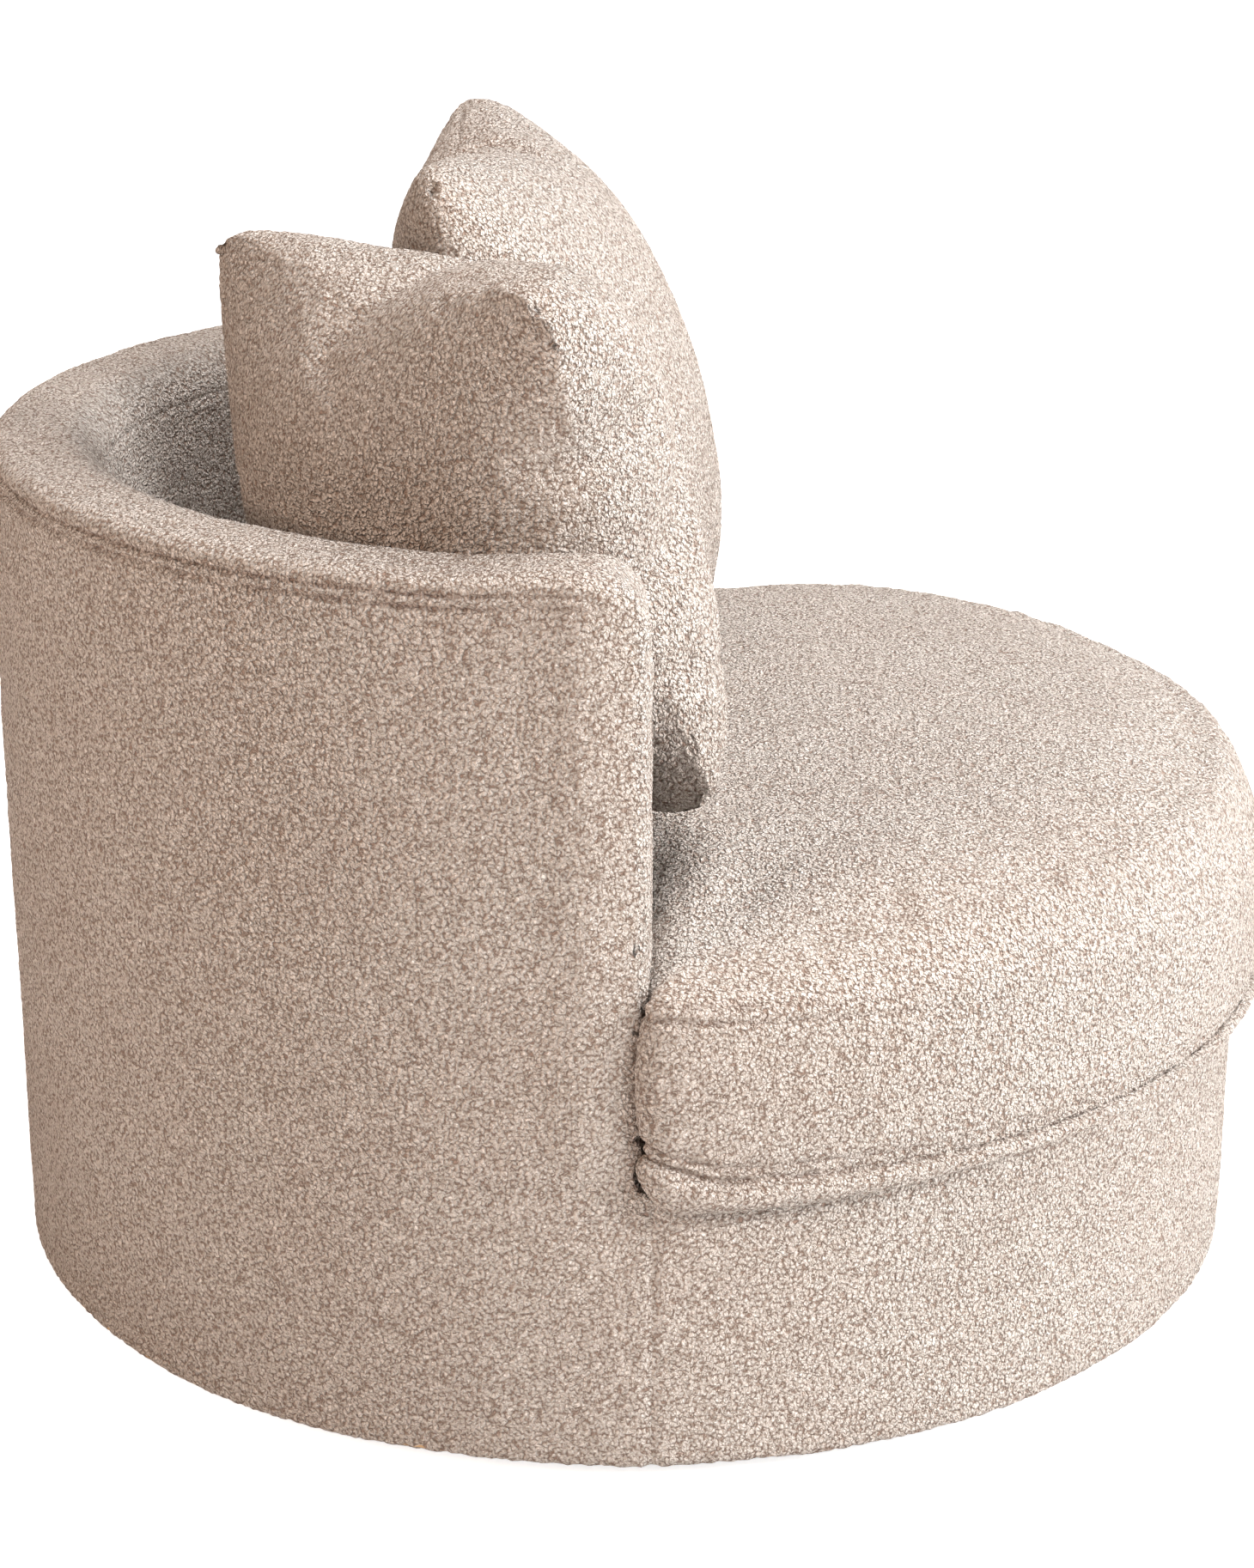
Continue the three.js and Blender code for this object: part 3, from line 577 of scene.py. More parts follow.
wall_normals = grid_normals(wall)
FORWARD = np.array([1.0, 0.0, 0.0])
for k in range(FACE_STEPS + 1):
    share = smooth((FACE_STEPS - k) / 4)
    for column in (k, len(wall) - 1 - k):
        mixed = wall_normals[column] * (1 - share) + FORWARD * share
        wall_normals[column] = mixed / np.linalg.norm(mixed, axis=1, keepdims=True)

# Seams of the rim: a sewn groove and a second row of stitches under it
SEAM_SPACING = 0.010
SEAM_GROOVE = 0.0034
STITCH_GROOVE = 0.0030
INNER_GROOVE = 0.0016
SIDE_GROOVE = 0.0014
SEWN_WIDTH = 0.0028


def groove(distance, depth, width=0.0035):
    """A sunk line with the cloth puffed up a little on both sides of it."""
    beside = bump(np.abs(distance) - 2.2 * width, 1.6 * width)
    return -depth * bump(distance, width) + 0.35 * depth * beside


def cloth_sag(points):
    """Slow unevenness of cloth over foam."""
    return 0.0012 * wave(points, 0.16, 3) + 0.0006 * wave(points, 0.06, 4)


along_section = np.concatenate([[0], np.cumsum(np.linalg.norm(np.diff(section, axis=0), axis=1))])
from_outer_seam = along_section - along_section[seam_row]
from_inner_seam = along_section - along_section[inner_seam_row]
rim_relief = groove(from_outer_seam, SEAM_GROOVE) + groove(from_outer_seam + SEAM_SPACING, STITCH_GROOVE)
rim_relief += groove(from_inner_seam, INNER_GROOVE)
# Lines of the rim's seam and stitches, for painted shade in their grooves
rim_seam_shade = bump(from_outer_seam, SEWN_WIDTH) + bump(from_outer_seam + SEAM_SPACING, SEWN_WIDTH)
fade = 1 - smooth((wall[:, seam_row, 0] + 0.045) / 0.03)
relief = rim_relief[None, :] * fade[:, None] + cloth_sag(wall)
pucker = bump(from_outer_seam + 0.018, 0.018)[None, :] * wave(wall * np.array([1, 1, 0.25]), 0.016, 8)
wall_base = wall + wall_normals * (relief + 0.0007 * pucker)[..., None]
wall_front, wall_pile_and_shade = pile(wall_base, wall_normals)
# Painted shade: the cloth darker along the rim's seam grooves, unevenly along the rim
rim_uneven = 0.6 + 0.4 * wave(wall, 0.03, 9)
wall_pile_and_shade = wall_pile_and_shade * (1 - 0.8 * np.clip(rim_seam_shade, 0, 1)[None, :] * fade[:, None] * rim_uneven)

# Painted shade on the arm's cloth where it lies beside the seat cushion's corner, up to a height
GAP_SHADE_TOP = 0.47
cushion_gap_shade = smooth((wall[..., 0] + 0.010) / 0.02) * smooth((GAP_SHADE_TOP - wall[..., 2]) / 0.06)
wall_pile_and_shade = wall_pile_and_shade * (1 - 0.4 * cushion_gap_shade)
for k in (0, len(wall) - 1):
    wall_front[k] = wall_base[k]


def wall_piece(name, first, last, low, high, caps=(True, True)):
    """A shell from a window of the wall's grid, both ends counted in."""
    pick = (slice(first, last + 1), slice(low, high + 1))
    arrays = [grid[pick] for grid in (wall_base, wall_normals, wall_front, wall_pile_and_shade)]
    return shell(name, *arrays, BOUCLE, caps=caps)


rim = wall_piece("rim_border_cloth", arc_first, arc_last, seam_row, inner_seam_row)
inside = wall_piece("inner_back_cloth", arc_first, arc_last, inner_seam_row, rows_up - 1)
left_facing = wall_piece("left_arm_front_cloth", 0, arc_first, 0, rows_up - 1, (False, True))
right_facing = wall_piece("right_arm_front_cloth", arc_last, len(wall) - 1, 0, rows_up - 1, (True, False))
merged(left_facing)
merged(right_facing)

# Lower drum: the outside below the deck, and the front under the seat cushion
SIDE_SEAM = 0.022
DECK_EDGE = 0.008
low_section = joined(
    line_points((-FOOT_LIP, FLOOR_GAP), (-FOOT_EDGE, FLOOR_GAP), 0.008),
    arc_points(-FOOT_EDGE, FLOOR_GAP + FOOT_EDGE, FOOT_EDGE, -90, 0),
    line_points((0, FLOOR_GAP + FOOT_EDGE), (0, upper_foot)),
)
front_section = joined(
    low_section[:-3],
    line_points(low_section[-3], (0, DECK - DECK_EDGE)),
    arc_points(-DECK_EDGE, DECK - DECK_EDGE, DECK_EDGE, 0, 90),
    line_points((-DECK_EDGE, DECK), (-FOOT_LIP, DECK), 0.006),
)


def drum_column(angle, run, normals):
    """A run's points and their normals, stood at an angle round the drum."""
    radius = DRUM_RADIUS + run[:, 0]
    radius = radius + smooth(1 + run[:, 0] / 0.02) * read_off(run[:, 1], BULGE)
    around = np.array([math.cos(angle), math.sin(angle)])
    points = np.concatenate([radius[:, None] * around, run[:, 1:]], axis=1)
    facing = np.concatenate([normals[:, :1] * around, normals[:, 1:]], axis=1)
    return points, facing


def drum_sheet(angles, run):
    """The cloth on a run between two upright seams: base, normals, tufted front and how open its pile is."""
    normals = section_sides(run)
    columns = [drum_column(angle, run, normals) for angle in angles]
    grid = np.stack([points for points, _ in columns])
    facing = np.stack([facing for _, facing in columns])
    from_seam = np.minimum(angles - angles[0], angles[-1] - angles)[:, None] * DRUM_RADIUS
    line = groove(from_seam, SIDE_GROOVE, 0.004) * smooth((DECK - grid[..., 2]) / 0.02)
    base = grid + facing * (cloth_sag(grid) + line)[..., None]
    return (base, facing, *pile(base, facing))


seam_angle = math.pi / 2 - math.asin(SIDE_SEAM / DRUM_RADIUS)
outer_angles = np.linspace(seam_angle, 2 * math.pi - seam_angle, arc_steps + 1)
lower_arrays = drum_sheet(outer_angles, low_section)
upper_window = (slice(arc_first, arc_last + 1), slice(0, seam_row + 1))
outer_arrays = [
    np.concatenate([lower[:, :-1], upper[upper_window]], axis=1)
    for lower, upper in zip(lower_arrays, (wall_base, wall_normals, wall_front, wall_pile_and_shade))
]
outer = shell("outer_back_cloth", *outer_arrays, BOUCLE)
front_steps = round(2 * seam_angle * DRUM_RADIUS / STEP)
front_angles = np.linspace(-seam_angle, seam_angle, front_steps + 1)
front = shell("front_drum_cloth", *drum_sheet(front_angles, front_section), BOUCLE)

# Seat cushion: one closed cage of top panel, band, drooping lip and bottom panel, blown up as cloth
CAGE_CELLS = 44
BAND_CELLS = 7
PLAN_SAMPLES = 2400
ARC_SAMPLES = 240
SEAM_SHARE = 0.988
BAND_BULGE = 0.008
BOTTOM_SHARE = 0.962
BOTTOM_GAP = 0.0018

# Rows of the lip: share of the plan, and share of the way down
LIP_ROWS = [(1.002, 0.30), (0.996, 0.75), (0.978, 1.0)]

# Distances over the cloth, down from the upper seam
BAND_LENGTH = 0.135
LIP_LENGTH = 0.018
UNDER_LENGTH = 0.21

# Distance forward, and height above the floor, of the seams and the lip's lowest line
UPPER_SEAM = [(-0.49, 0.442), (-0.10, 0.446), (0.04, 0.454), (0.30, 0.444), (0.62, 0.428)]
LOWER_SEAM = [(-0.49, 0.307), (-0.10, 0.308), (0.025, 0.316), (0.075, 0.293), (0.30, 0.292), (0.62, 0.293)]
LIP_BOTTOM = [(-0.49, 0.282), (0.015, 0.282), (0.03, 0.263), (0.16, 0.266), (0.34, 0.278), (0.62, 0.286)]

# Share of the way out, and how far the crown has fallen there; the front has lost less of its fullness
CROWN_FALL = [
    (0.00, 0.001),
    (0.32, 0.002),
    (0.60, 0.008),
    (0.65, 0.010),
    (0.78, 0.021),
    (0.88, 0.038),
    (0.96, 0.058),
]
CROWN_BORDER = 0.04
FRONT_FULLNESS = 0.42
SWELL_LIMIT = 0.007


def cushion_plan():
    """The cushion's outline, densely sampled and counter-clockwise from the front's middle."""
    back = ARM_FRONT + SHOULDER_GAP
    corner_x = back + SHOULDER_RADIUS
    corner_y = math.sqrt((CUSHION_RADIUS - SHOULDER_RADIUS) ** 2 - corner_x**2)
    front_end = math.atan2(corner_y, corner_x) / DEGREE
    rear_start = math.acos((back - NOTCH_RADIUS * 0.3) / CUSHION_REAR) / DEGREE
    runs = []
    for x, y, radius, start, end in (
        (0, 0, CUSHION_RADIUS, 0, front_end),
        (corner_x, corner_y, SHOULDER_RADIUS, front_end, 180),
        (0, 0, CUSHION_REAR, rear_start + 3, 180),
    ):
        angles = np.linspace(start, end, ARC_SAMPLES) * DEGREE
        runs.append(np.stack([x + radius * np.cos(angles), y + radius * np.sin(angles)], axis=1))
    half = np.concatenate(runs)
    other = half[-2:0:-1] * np.array([1, -1])
    plan = np.concatenate([half, other])
    length = np.linalg.norm(np.diff(plan, axis=0, append=plan[:1]), axis=1)
    at = np.concatenate([[0], np.cumsum(length)])
    closed = np.concatenate([plan, plan[:1]])
    even = np.arange(PLAN_SAMPLES) / PLAN_SAMPLES * at[-1]
    return np.stack([np.interp(even, at, closed[:, k]) for k in (0, 1)], axis=1)


def rounded(plan, samples):
    """A closed outline smoothed over a number of samples."""
    kernel = np.exp(-(np.arange(-3 * samples, 3 * samples + 1) ** 2) / (2.0 * samples**2))
    kernel /= kernel.sum()
    reach = 3 * samples
    padded = np.concatenate([plan[-reach:], plan, plan[:reach]])
    return np.stack([np.convolve(padded[:, k], kernel, "valid") for k in (0, 1)], axis=1)


plan = cushion_plan()
plan_sharp = rounded(plan, 7)
plan_soft = rounded(plan, 170)


def at_share(outline, f):
    """Points of a closed outline at shares of the way round."""
    n = len(outline)
    spot = np.mod(f, 1.0) * n
    low_index = np.floor(spot).astype(int) % n
    part = (spot - np.floor(spot))[..., None]
    return outline[low_index] * (1 - part) + outline[(low_index + 1) % n] * part


def square_grid(cells):
    """Ring share and way round for each point of a square grid of cells laid over a round panel."""
    side = np.linspace(-1, 1, cells + 1)
    a, b = np.meshgrid(side, side, indexing="ij")
    ring = np.maximum(np.abs(a), np.abs(b))
    safe = np.maximum(ring, 1e-9)
    right = (a >= ring - 1e-9) & (b < ring - 1e-9)
    top = (b >= ring - 1e-9) & (a > -ring + 1e-9)
    left = (a <= -ring + 1e-9) & (b > -ring + 1e-9)
    ways = [b / safe, 2 - a / safe, 4 - b / safe]
    return ring, np.select([right, top, left], ways, 6 + a / safe) / 8


def rim_order(cells):
    """Grid places of a square's border, in step with the way round."""
    n = cells
    order = [(n, j) for j in range(n)] + [(n - i, n) for i in range(n)]
    return order + [(0, n - j) for j in range(n)] + [(i, 0) for i in range(n)]


def panel_points(ring, f, share):
    """Plan of a panel: its outline at the edge, and a rounder form of it further in."""
    weight = smooth((ring - 0.45) / 0.5)[..., None]
    outline = at_share(plan_sharp, f) * weight + at_share(plan_soft, f) * (1 - weight)
    centre = np.array([CUSHION_CENTRE, 0])
    return centre + (ring * share)[..., None] * (outline - centre)


def crown_height(ring, seam, x):
    """Height of the top panel: a dome, fuller towards the front, that falls to the seam at its edge."""
    slack = 1 - FRONT_FULLNESS * smooth((x + 0.02) / 0.45)
    dome = CUSHION_TOP - read_off(ring, CROWN_FALL) * slack
    edge = seam + (dome - seam) * (1 - ring) / CROWN_BORDER
    return np.where(ring <= 1 - CROWN_BORDER, dome, edge)


def cushion_cage():
    """The cage's points, faces, distances over the cloth, held points, and its top and band grids."""
    ring, f = square_grid(CAGE_CELLS)
    order = rim_order(CAGE_CELLS)
    around = np.arange(len(order)) / len(order) - 0.125
    spot = panel_points(ring, f, SEAM_SHARE)
    edge = panel_points(np.ones_like(ring), f, SEAM_SHARE)
    seam = read_off(edge[..., 0], UPPER_SEAM)
    top = np.concatenate([spot, crown_height(ring, seam, spot[..., 0])[..., None]], axis=-1)
    points = [top.reshape(-1, 3)]
    along = [(1 - ring).ravel() * CUSHION_RADIUS]
    number = np.arange(ring.size).reshape(ring.shape)
    rows = [np.array([number[i, j] for i, j in order])]
    seam_ring = at_share(plan_sharp, around)
    centre = np.array([CUSHION_CENTRE, 0])
    lines = []
    for k in range(1, BAND_CELLS + 1):
        t = k / BAND_CELLS
        share = SEAM_SHARE + BAND_BULGE * math.sin(math.pi * t)
        lines.append((share, UPPER_SEAM, LOWER_SEAM, t, -BAND_LENGTH * t))
    for k, (share, t) in enumerate(LIP_ROWS):
        lines.append((share, LOWER_SEAM, LIP_BOTTOM, t, -BAND_LENGTH - LIP_LENGTH * (k + 1)))
    for share, above, below, t, length in lines:
        place = centre + share * (seam_ring - centre)
        height = read_off(place[:, 0], above) * (1 - t) + read_off(place[:, 0], below) * t
        start = sum(len(p) for p in points)
        points.append(np.concatenate([place, height[:, None]], axis=1))
        along.append(np.full(len(place), length))
        rows.append(np.arange(start, start + len(place)))
    start = sum(len(p) for p in points)
    base = panel_points(ring, f, BOTTOM_SHARE)
    bottom = np.concatenate([base, np.full(ring.shape, DECK + BOTTOM_GAP)[..., None]], axis=-1)
    points.append(bottom.reshape(-1, 3))
    along.append(-UNDER_LENGTH - (1 - ring).ravel() * CUSHION_RADIUS)
    under = start + number
    rows.append(np.array([under[i, j] for i, j in order]))
    band = np.stack(rows, axis=1)
    faces = quads(number) + quads(under[::-1]) + quads(np.concatenate([band, band[:1]])[:, ::-1])
    held = np.unique(np.concatenate([rows[0], rows[BAND_CELLS], rows[-1], under.ravel()]))
    return np.concatenate(points), faces, np.concatenate(along), held, number, band


def coordinates(mesh):
    spots = np.zeros(len(mesh.vertices) * 3, np.float32)
    mesh.vertices.foreach_get("co", spots)
    return spots.reshape(-1, 3).astype(float)


def swelled(piece, pressure, frames, bending, limit, held=()):
    """Blows a piece up with Cloth and keeps the result, with no point moved further than the limit."""
    start = coordinates(piece.data)
    cloth = piece.modifiers.new("swell", "CLOTH")
    settings = cloth.settings
    settings.quality = 6
    settings.mass = 0.25
    settings.tension_stiffness = settings.compression_stiffness = 14
    settings.shear_stiffness = 6
    settings.bending_stiffness = bending
    settings.use_pressure = True
    settings.uniform_pressure_force = pressure
    settings.effector_weights.gravity = 0
    if len(held):
        group = piece.vertex_groups.new(name="held")
        group.add([int(i) for i in held], 1.0, "REPLACE")
        settings.vertex_group_mass = "held"
    cloth.point_cache.frame_start = 1
    cloth.point_cache.frame_end = frames
    scene = bpy.context.scene
    for f in range(1, frames + 1):
        scene.frame_set(f)
    shown = piece.evaluated_get(bpy.context.evaluated_depsgraph_get())
    step = coordinates(shown.to_mesh()) - start
    shown.to_mesh_clear()
    piece.modifiers.remove(cloth)
    scene.frame_set(1)
    far = np.linalg.norm(step, axis=1, keepdims=True)
    moved = start + step * np.minimum(1, limit / np.maximum(far, 1e-9))
    write(piece, moved)
    return moved


def spline(grid, at, closed=False):
    """Smooth values along a grid's first axis, at fractional row numbers."""
    if closed:
        grid = np.concatenate([grid[-1:], grid, grid[:2]])
    else:
        grid = np.concatenate([2 * grid[:1] - grid[1:2], grid, 2 * grid[-1:] - grid[-2:-1]])
    i = np.clip(np.floor(at).astype(int), 0, len(grid) - 4)
    t = (at - i).reshape(-1, *[1] * (grid.ndim - 1))
    before, a, b, after = (grid[i + k] for k in range(4))
    bend = 2 * before - 5 * a + 4 * b - after + t * (3 * (a - b) + after - before)
    return a + 0.5 * t * (b - before + t * bend)


def refined(grid, cells):
    """A square grid drawn again with more cells."""
    at = np.linspace(0, len(grid) - 1, cells + 1)
    return spline(spline(grid, at).swapaxes(0, 1), at).swapaxes(0, 1)


def read(piece):
    """A piece's points and normals."""
    mesh = piece.data
    normals = np.zeros(len(mesh.vertices) * 3, np.float32)
    mesh.vertex_normals.foreach_get("vector", normals)
    return coordinates(mesh), normals.reshape(-1, 3).astype(float)


def write(piece, points, pile_and_shade=None):
    piece.data.vertices.foreach_set("co", points.astype(np.float32).ravel())
    if pile_and_shade is not None:
        layer = piece.data.attributes.get("pile") or piece.data.attributes.new("pile", "FLOAT", "POINT")
        layer.data.foreach_set("value", np.asarray(pile_and_shade, np.float32))
    piece.data.update()


TOP_CELLS = 200
BASE_SHARES = [0.93, 0.80, 0.60, 0.35, 0.12]


def cushion_surface(cage, along, number, band):
    """The cushion drawn finely from its swollen cage: points, faces and distances over the cloth."""
    cage = np.concatenate([cage, along[:, None]], axis=1)
    top = refined(cage[number], TOP_CELLS)
    last = band.shape[1] - 1

    # Rows down the side: from and to which row of the cage, and how many
    runs = (
        (0, 1.2, 12),
        (1.2, BAND_CELLS - 1.2, 18),
        (BAND_CELLS - 1.2, BAND_CELLS + 0.3, 14),
        (BAND_CELLS + 0.3, last, 14),
    )
    row_at = np.concatenate([np.linspace(*run)[:-1] for run in runs] + [[last]])
    around = np.arange(4 * TOP_CELLS) * CAGE_CELLS / TOP_CELLS
    side = spline(spline(cage[band].swapaxes(0, 1), row_at).swapaxes(0, 1), around, closed=True)
    order = rim_order(TOP_CELLS)
    for k, (i, j) in enumerate(order):
        top[i, j] = side[k, 0]
    middle = side[:, -1].mean(axis=0)
    base = np.stack([middle + share * (side[:, -1] - middle) for share in BASE_SHARES], axis=1)
    points = np.concatenate([top.reshape(-1, 4), side[:, 1:].reshape(-1, 4), base.reshape(-1, 4)])
    number = np.arange(len(points))
    top_end = (TOP_CELLS + 1) ** 2
    side_end = len(points) - len(side) * len(BASE_SHARES)
    top_number = number[:top_end].reshape(TOP_CELLS + 1, -1)
    side_number = number[top_end:side_end].reshape(len(side), -1)
    base_number = number[side_end:].reshape(len(side), -1)
    first = np.array([top_number[i, j] for i, j in order])
    down = np.concatenate([first[:, None], side_number, base_number], axis=1)
    down = np.concatenate([down, down[:1]])
    faces = quads(top_number) + quads(down[:, ::-1])
    faces.append(base_number[::-1, -1].tolist())
    return points[:, :3], faces, points[:, 3]


def shoulders(points):
    """The cushion's front corners swell back past the arm fronts, outside them, and round off below."""
    x, y, z = points[:, 0], np.abs(points[:, 1]), points[:, 2]
    height = np.sin(math.pi * np.clip((z - 0.245) / 0.235, 0, 1)) ** 0.5
    back = smooth((y - 0.592) / 0.014) * smooth((0.08 - x) / 0.06) * height
    lift = smooth((0.050 - x) / 0.03) * smooth((x + 0.01) / 0.02) * np.clip((0.305 - z) / 0.035, 0, 1)
    return points + np.stack([-SHOULDER_SWELL * back, 0 * back, SHOULDER_LIFT * lift], axis=1)


CORE_INSET = 0.010
cage, cage_faces, cage_along, cage_held, cage_number, cage_band = cushion_cage()
core = make("seat_cushion_foam", cage, cage_faces, SLOT_FINISHES["foam"])
cage = swelled(core, pressure=3.0, frames=16, bending=3.0, limit=SWELL_LIMIT, held=cage_held)
points, faces, along = cushion_surface(cage, cage_along, cage_number, cage_band)
cushion = make("seat_cushion_cloth", shoulders(points), faces, BOUCLE)
points, normals = read(core)
write(core, points - normals * CORE_INSET)

# Seams of the cushion, each with a second row of stitches, tight near the arms and looser to the front
TOPSTITCH = 0.012
PUFF = 0.0036
SEAM_WIDTH = 0.0036
STITCH_DEPTH = 0.0030
STITCH_WIDTH = 0.0028
PUCKER = 0.0016
FOAM_UNEVEN = 0.0022
points, normals = read(cushion)
uneven = 0.75 + 0.35 * wave(points, 0.03, 43)
uneven *= 0.45 + 0.55 * smooth((0.36 - points[:, 0]) / 0.30)
past_lower = along + BAND_LENGTH
sewn = (bump(along, SEAM_WIDTH) + bump(past_lower, SEAM_WIDTH)) * uneven
stitched = (bump(along + TOPSTITCH, STITCH_WIDTH) + bump(past_lower - TOPSTITCH, STITCH_WIDTH)) * uneven
relief = PUFF * (1 - sewn) * smooth((along + 0.20) / 0.03) - STITCH_DEPTH * stitched
near_seam = bump(np.minimum(np.abs(along - 0.012), np.abs(along + 0.11)), 0.028)
relief += PUCKER * near_seam * wave(points * np.array([1, 1, 0.2]), 0.02, 41)
relief += FOAM_UNEVEN * wave(points, 0.13, 42) * smooth((along + 0.20) / 0.05)
write(cushion, points + normals * relief[:, None])
points, pile_and_shade = pile(*read(cushion))
# Painted shade darkens the cloth along the cushion's seams and stitch lines
write(cushion, points, pile_and_shade * (1 - 0.5 * np.clip(sewn + stitched, 0, 1)))

# Pillows: two squares of cloth sewn at their edges and blown up, stood as in the photograph
PILLOW_CELLS = 40
PILLOW_FINE = 190
FLAT_DEPTH = 0.035
FIBRE_INSET = 0.008
PULL_SHARES = np.array([0.12, 0.55, 0.55])

# Pillow seam: depth and width, the pinch behind each ear, and the unevenness of cloth beside it and all over
PILLOW_SEAM_DEPTH = 0.0022
PILLOW_SEAM_WIDTH = 0.0045
PINCH_DEPTH = 0.004
PINCH_AT = 0.036
PINCH_WIDTH = 0.018
PILLOW_PUCKER = 0.0018
PILLOW_UNEVEN = 0.0025


def two_faced(front, back):
    """One closed skin from a front and a back grid that share their border."""
    n = len(front) - 1
    number = np.arange((n + 1) ** 2).reshape(n + 1, n + 1)
    inner = np.zeros((n + 1, n + 1), bool)
    inner[1:-1, 1:-1] = True
    behind = number.copy()
    behind[inner] = (n + 1) ** 2 + np.arange(inner.sum())
    points = np.concatenate([front.reshape(-1, front.shape[-1]), back[inner]])
    return points, quads(number) + quads(behind[::-1]), number, behind


def pillow_faces(spots, front, back, p):
    """Front and back grid of a pillow about its own centre, from its places across and up, -1 to 1."""
    u, v = np.meshgrid(spots, spots, indexing="ij")
    ear = 1 - 0.055 * (u * v) ** 4 - 0.045 * (u * v) ** 20
    dome = np.maximum((1 - u**2) * (1 - v**2), 0)
    y, z = u * p["width"] / 2 * ear, v * p["height"] / 2 * ear
    ahead, behind = front * dome ** p["power"], -back * dome ** p["flat"]
    return [np.stack([x, y, z], axis=-1) for x in (ahead, behind)]


# A pillow's numbers: its size, the depth before and behind its seam and how square each crown is; where its
# lower corner stands, how it turns, leans and rolls in degrees, and how its filling has settled
NEAR = dict(
    width=0.522,
    height=0.512,
    front=0.132,
    back=0.124,
    power=0.41,
    flat=0.85,
    side=-1,
    out=0.460,
    round=-79.3,
    lift=0.036,
    turn=37.6,
    lean=20.5,
    roll=-2.4,
    twist=0.085,
    top_heavy=0.32,
    side_heavy=0.42,
    dip=0.012,
    sag=0.028,
    seed=51,
)
FAR = dict(
    width=0.538,
    height=0.572,
    front=0.147,
    back=0.122,
    power=0.50,
    flat=0.56,
    side=1,
    out=0.423,
    round=85.0,
    lift=0.005,
    turn=-2.2,
    lean=21.0,
    roll=0.0,
    twist=0.0,
    top_heavy=0.02,
    side_heavy=0.0,
    dip=0.016,
    sag=0.0,
    seed=61,
)


def pillow_pose(p):
    """How a pillow is turned, and where its centre is, so that its lower corner stands on its place."""
    turned = Euler((p["roll"] * DEGREE, -p["lean"] * DEGREE, p["turn"] * DEGREE), "XYZ").to_matrix()
    angle = p["round"] * DEGREE
    corner = Vector((p["out"] * math.cos(angle), p["out"] * math.sin(angle), CUSHION_TOP + p["lift"]))
    reach = turned @ Vector((0, p["side"] * p["width"] / 2, -p["height"] / 2))
    return np.array(turned), np.array(corner - reach)


def slumped(points, p, turned):
    """A pillow's points once it has settled: a bottom that sags, a heavy top, one corner bent back."""
    points = points.copy()
    across, up = 2 * points[..., 1] / p["width"], 2 * points[..., 2] / p["height"]
    points[..., 2] -= p["sag"] * (1 - across**2) * smooth((-up - 0.3) / 0.7)
    points[..., 2] -= p["dip"] * (1 - across**2) * smooth((up - 0.3) / 0.7)
    points[..., 0] *= 1 + (p["top_heavy"] * up - p["side_heavy"] * across) * (points[..., 0] > 0)
    away = (1 + across) / 2 * (1 - up) / 2
    back_turn = p["turn"] * DEGREE
    twist = -p["twist"] * away[..., None] * np.array([math.cos(back_turn), math.sin(back_turn), 0])
    return points + twist @ turned


def outward(face, p):
    """Unit directions in a pillow's own plane, away from its middle."""
    across, up = 2 * face[..., 1] / p["width"], 2 * face[..., 2] / p["height"]
    away = np.stack([0 * across, across * np.abs(across) ** 7, up * np.abs(up) ** 7], axis=-1)
    return away / np.maximum(np.linalg.norm(away, axis=-1, keepdims=True), 1e-9)


def eased(normals, away, edge):
    """Normals that turn outward near the seam, so that relief there does not fold over."""
    turned_out = normals + 4.0 * bump(edge, 0.005)[:, None] * away
    return turned_out / np.linalg.norm(turned_out, axis=1, keepdims=True)


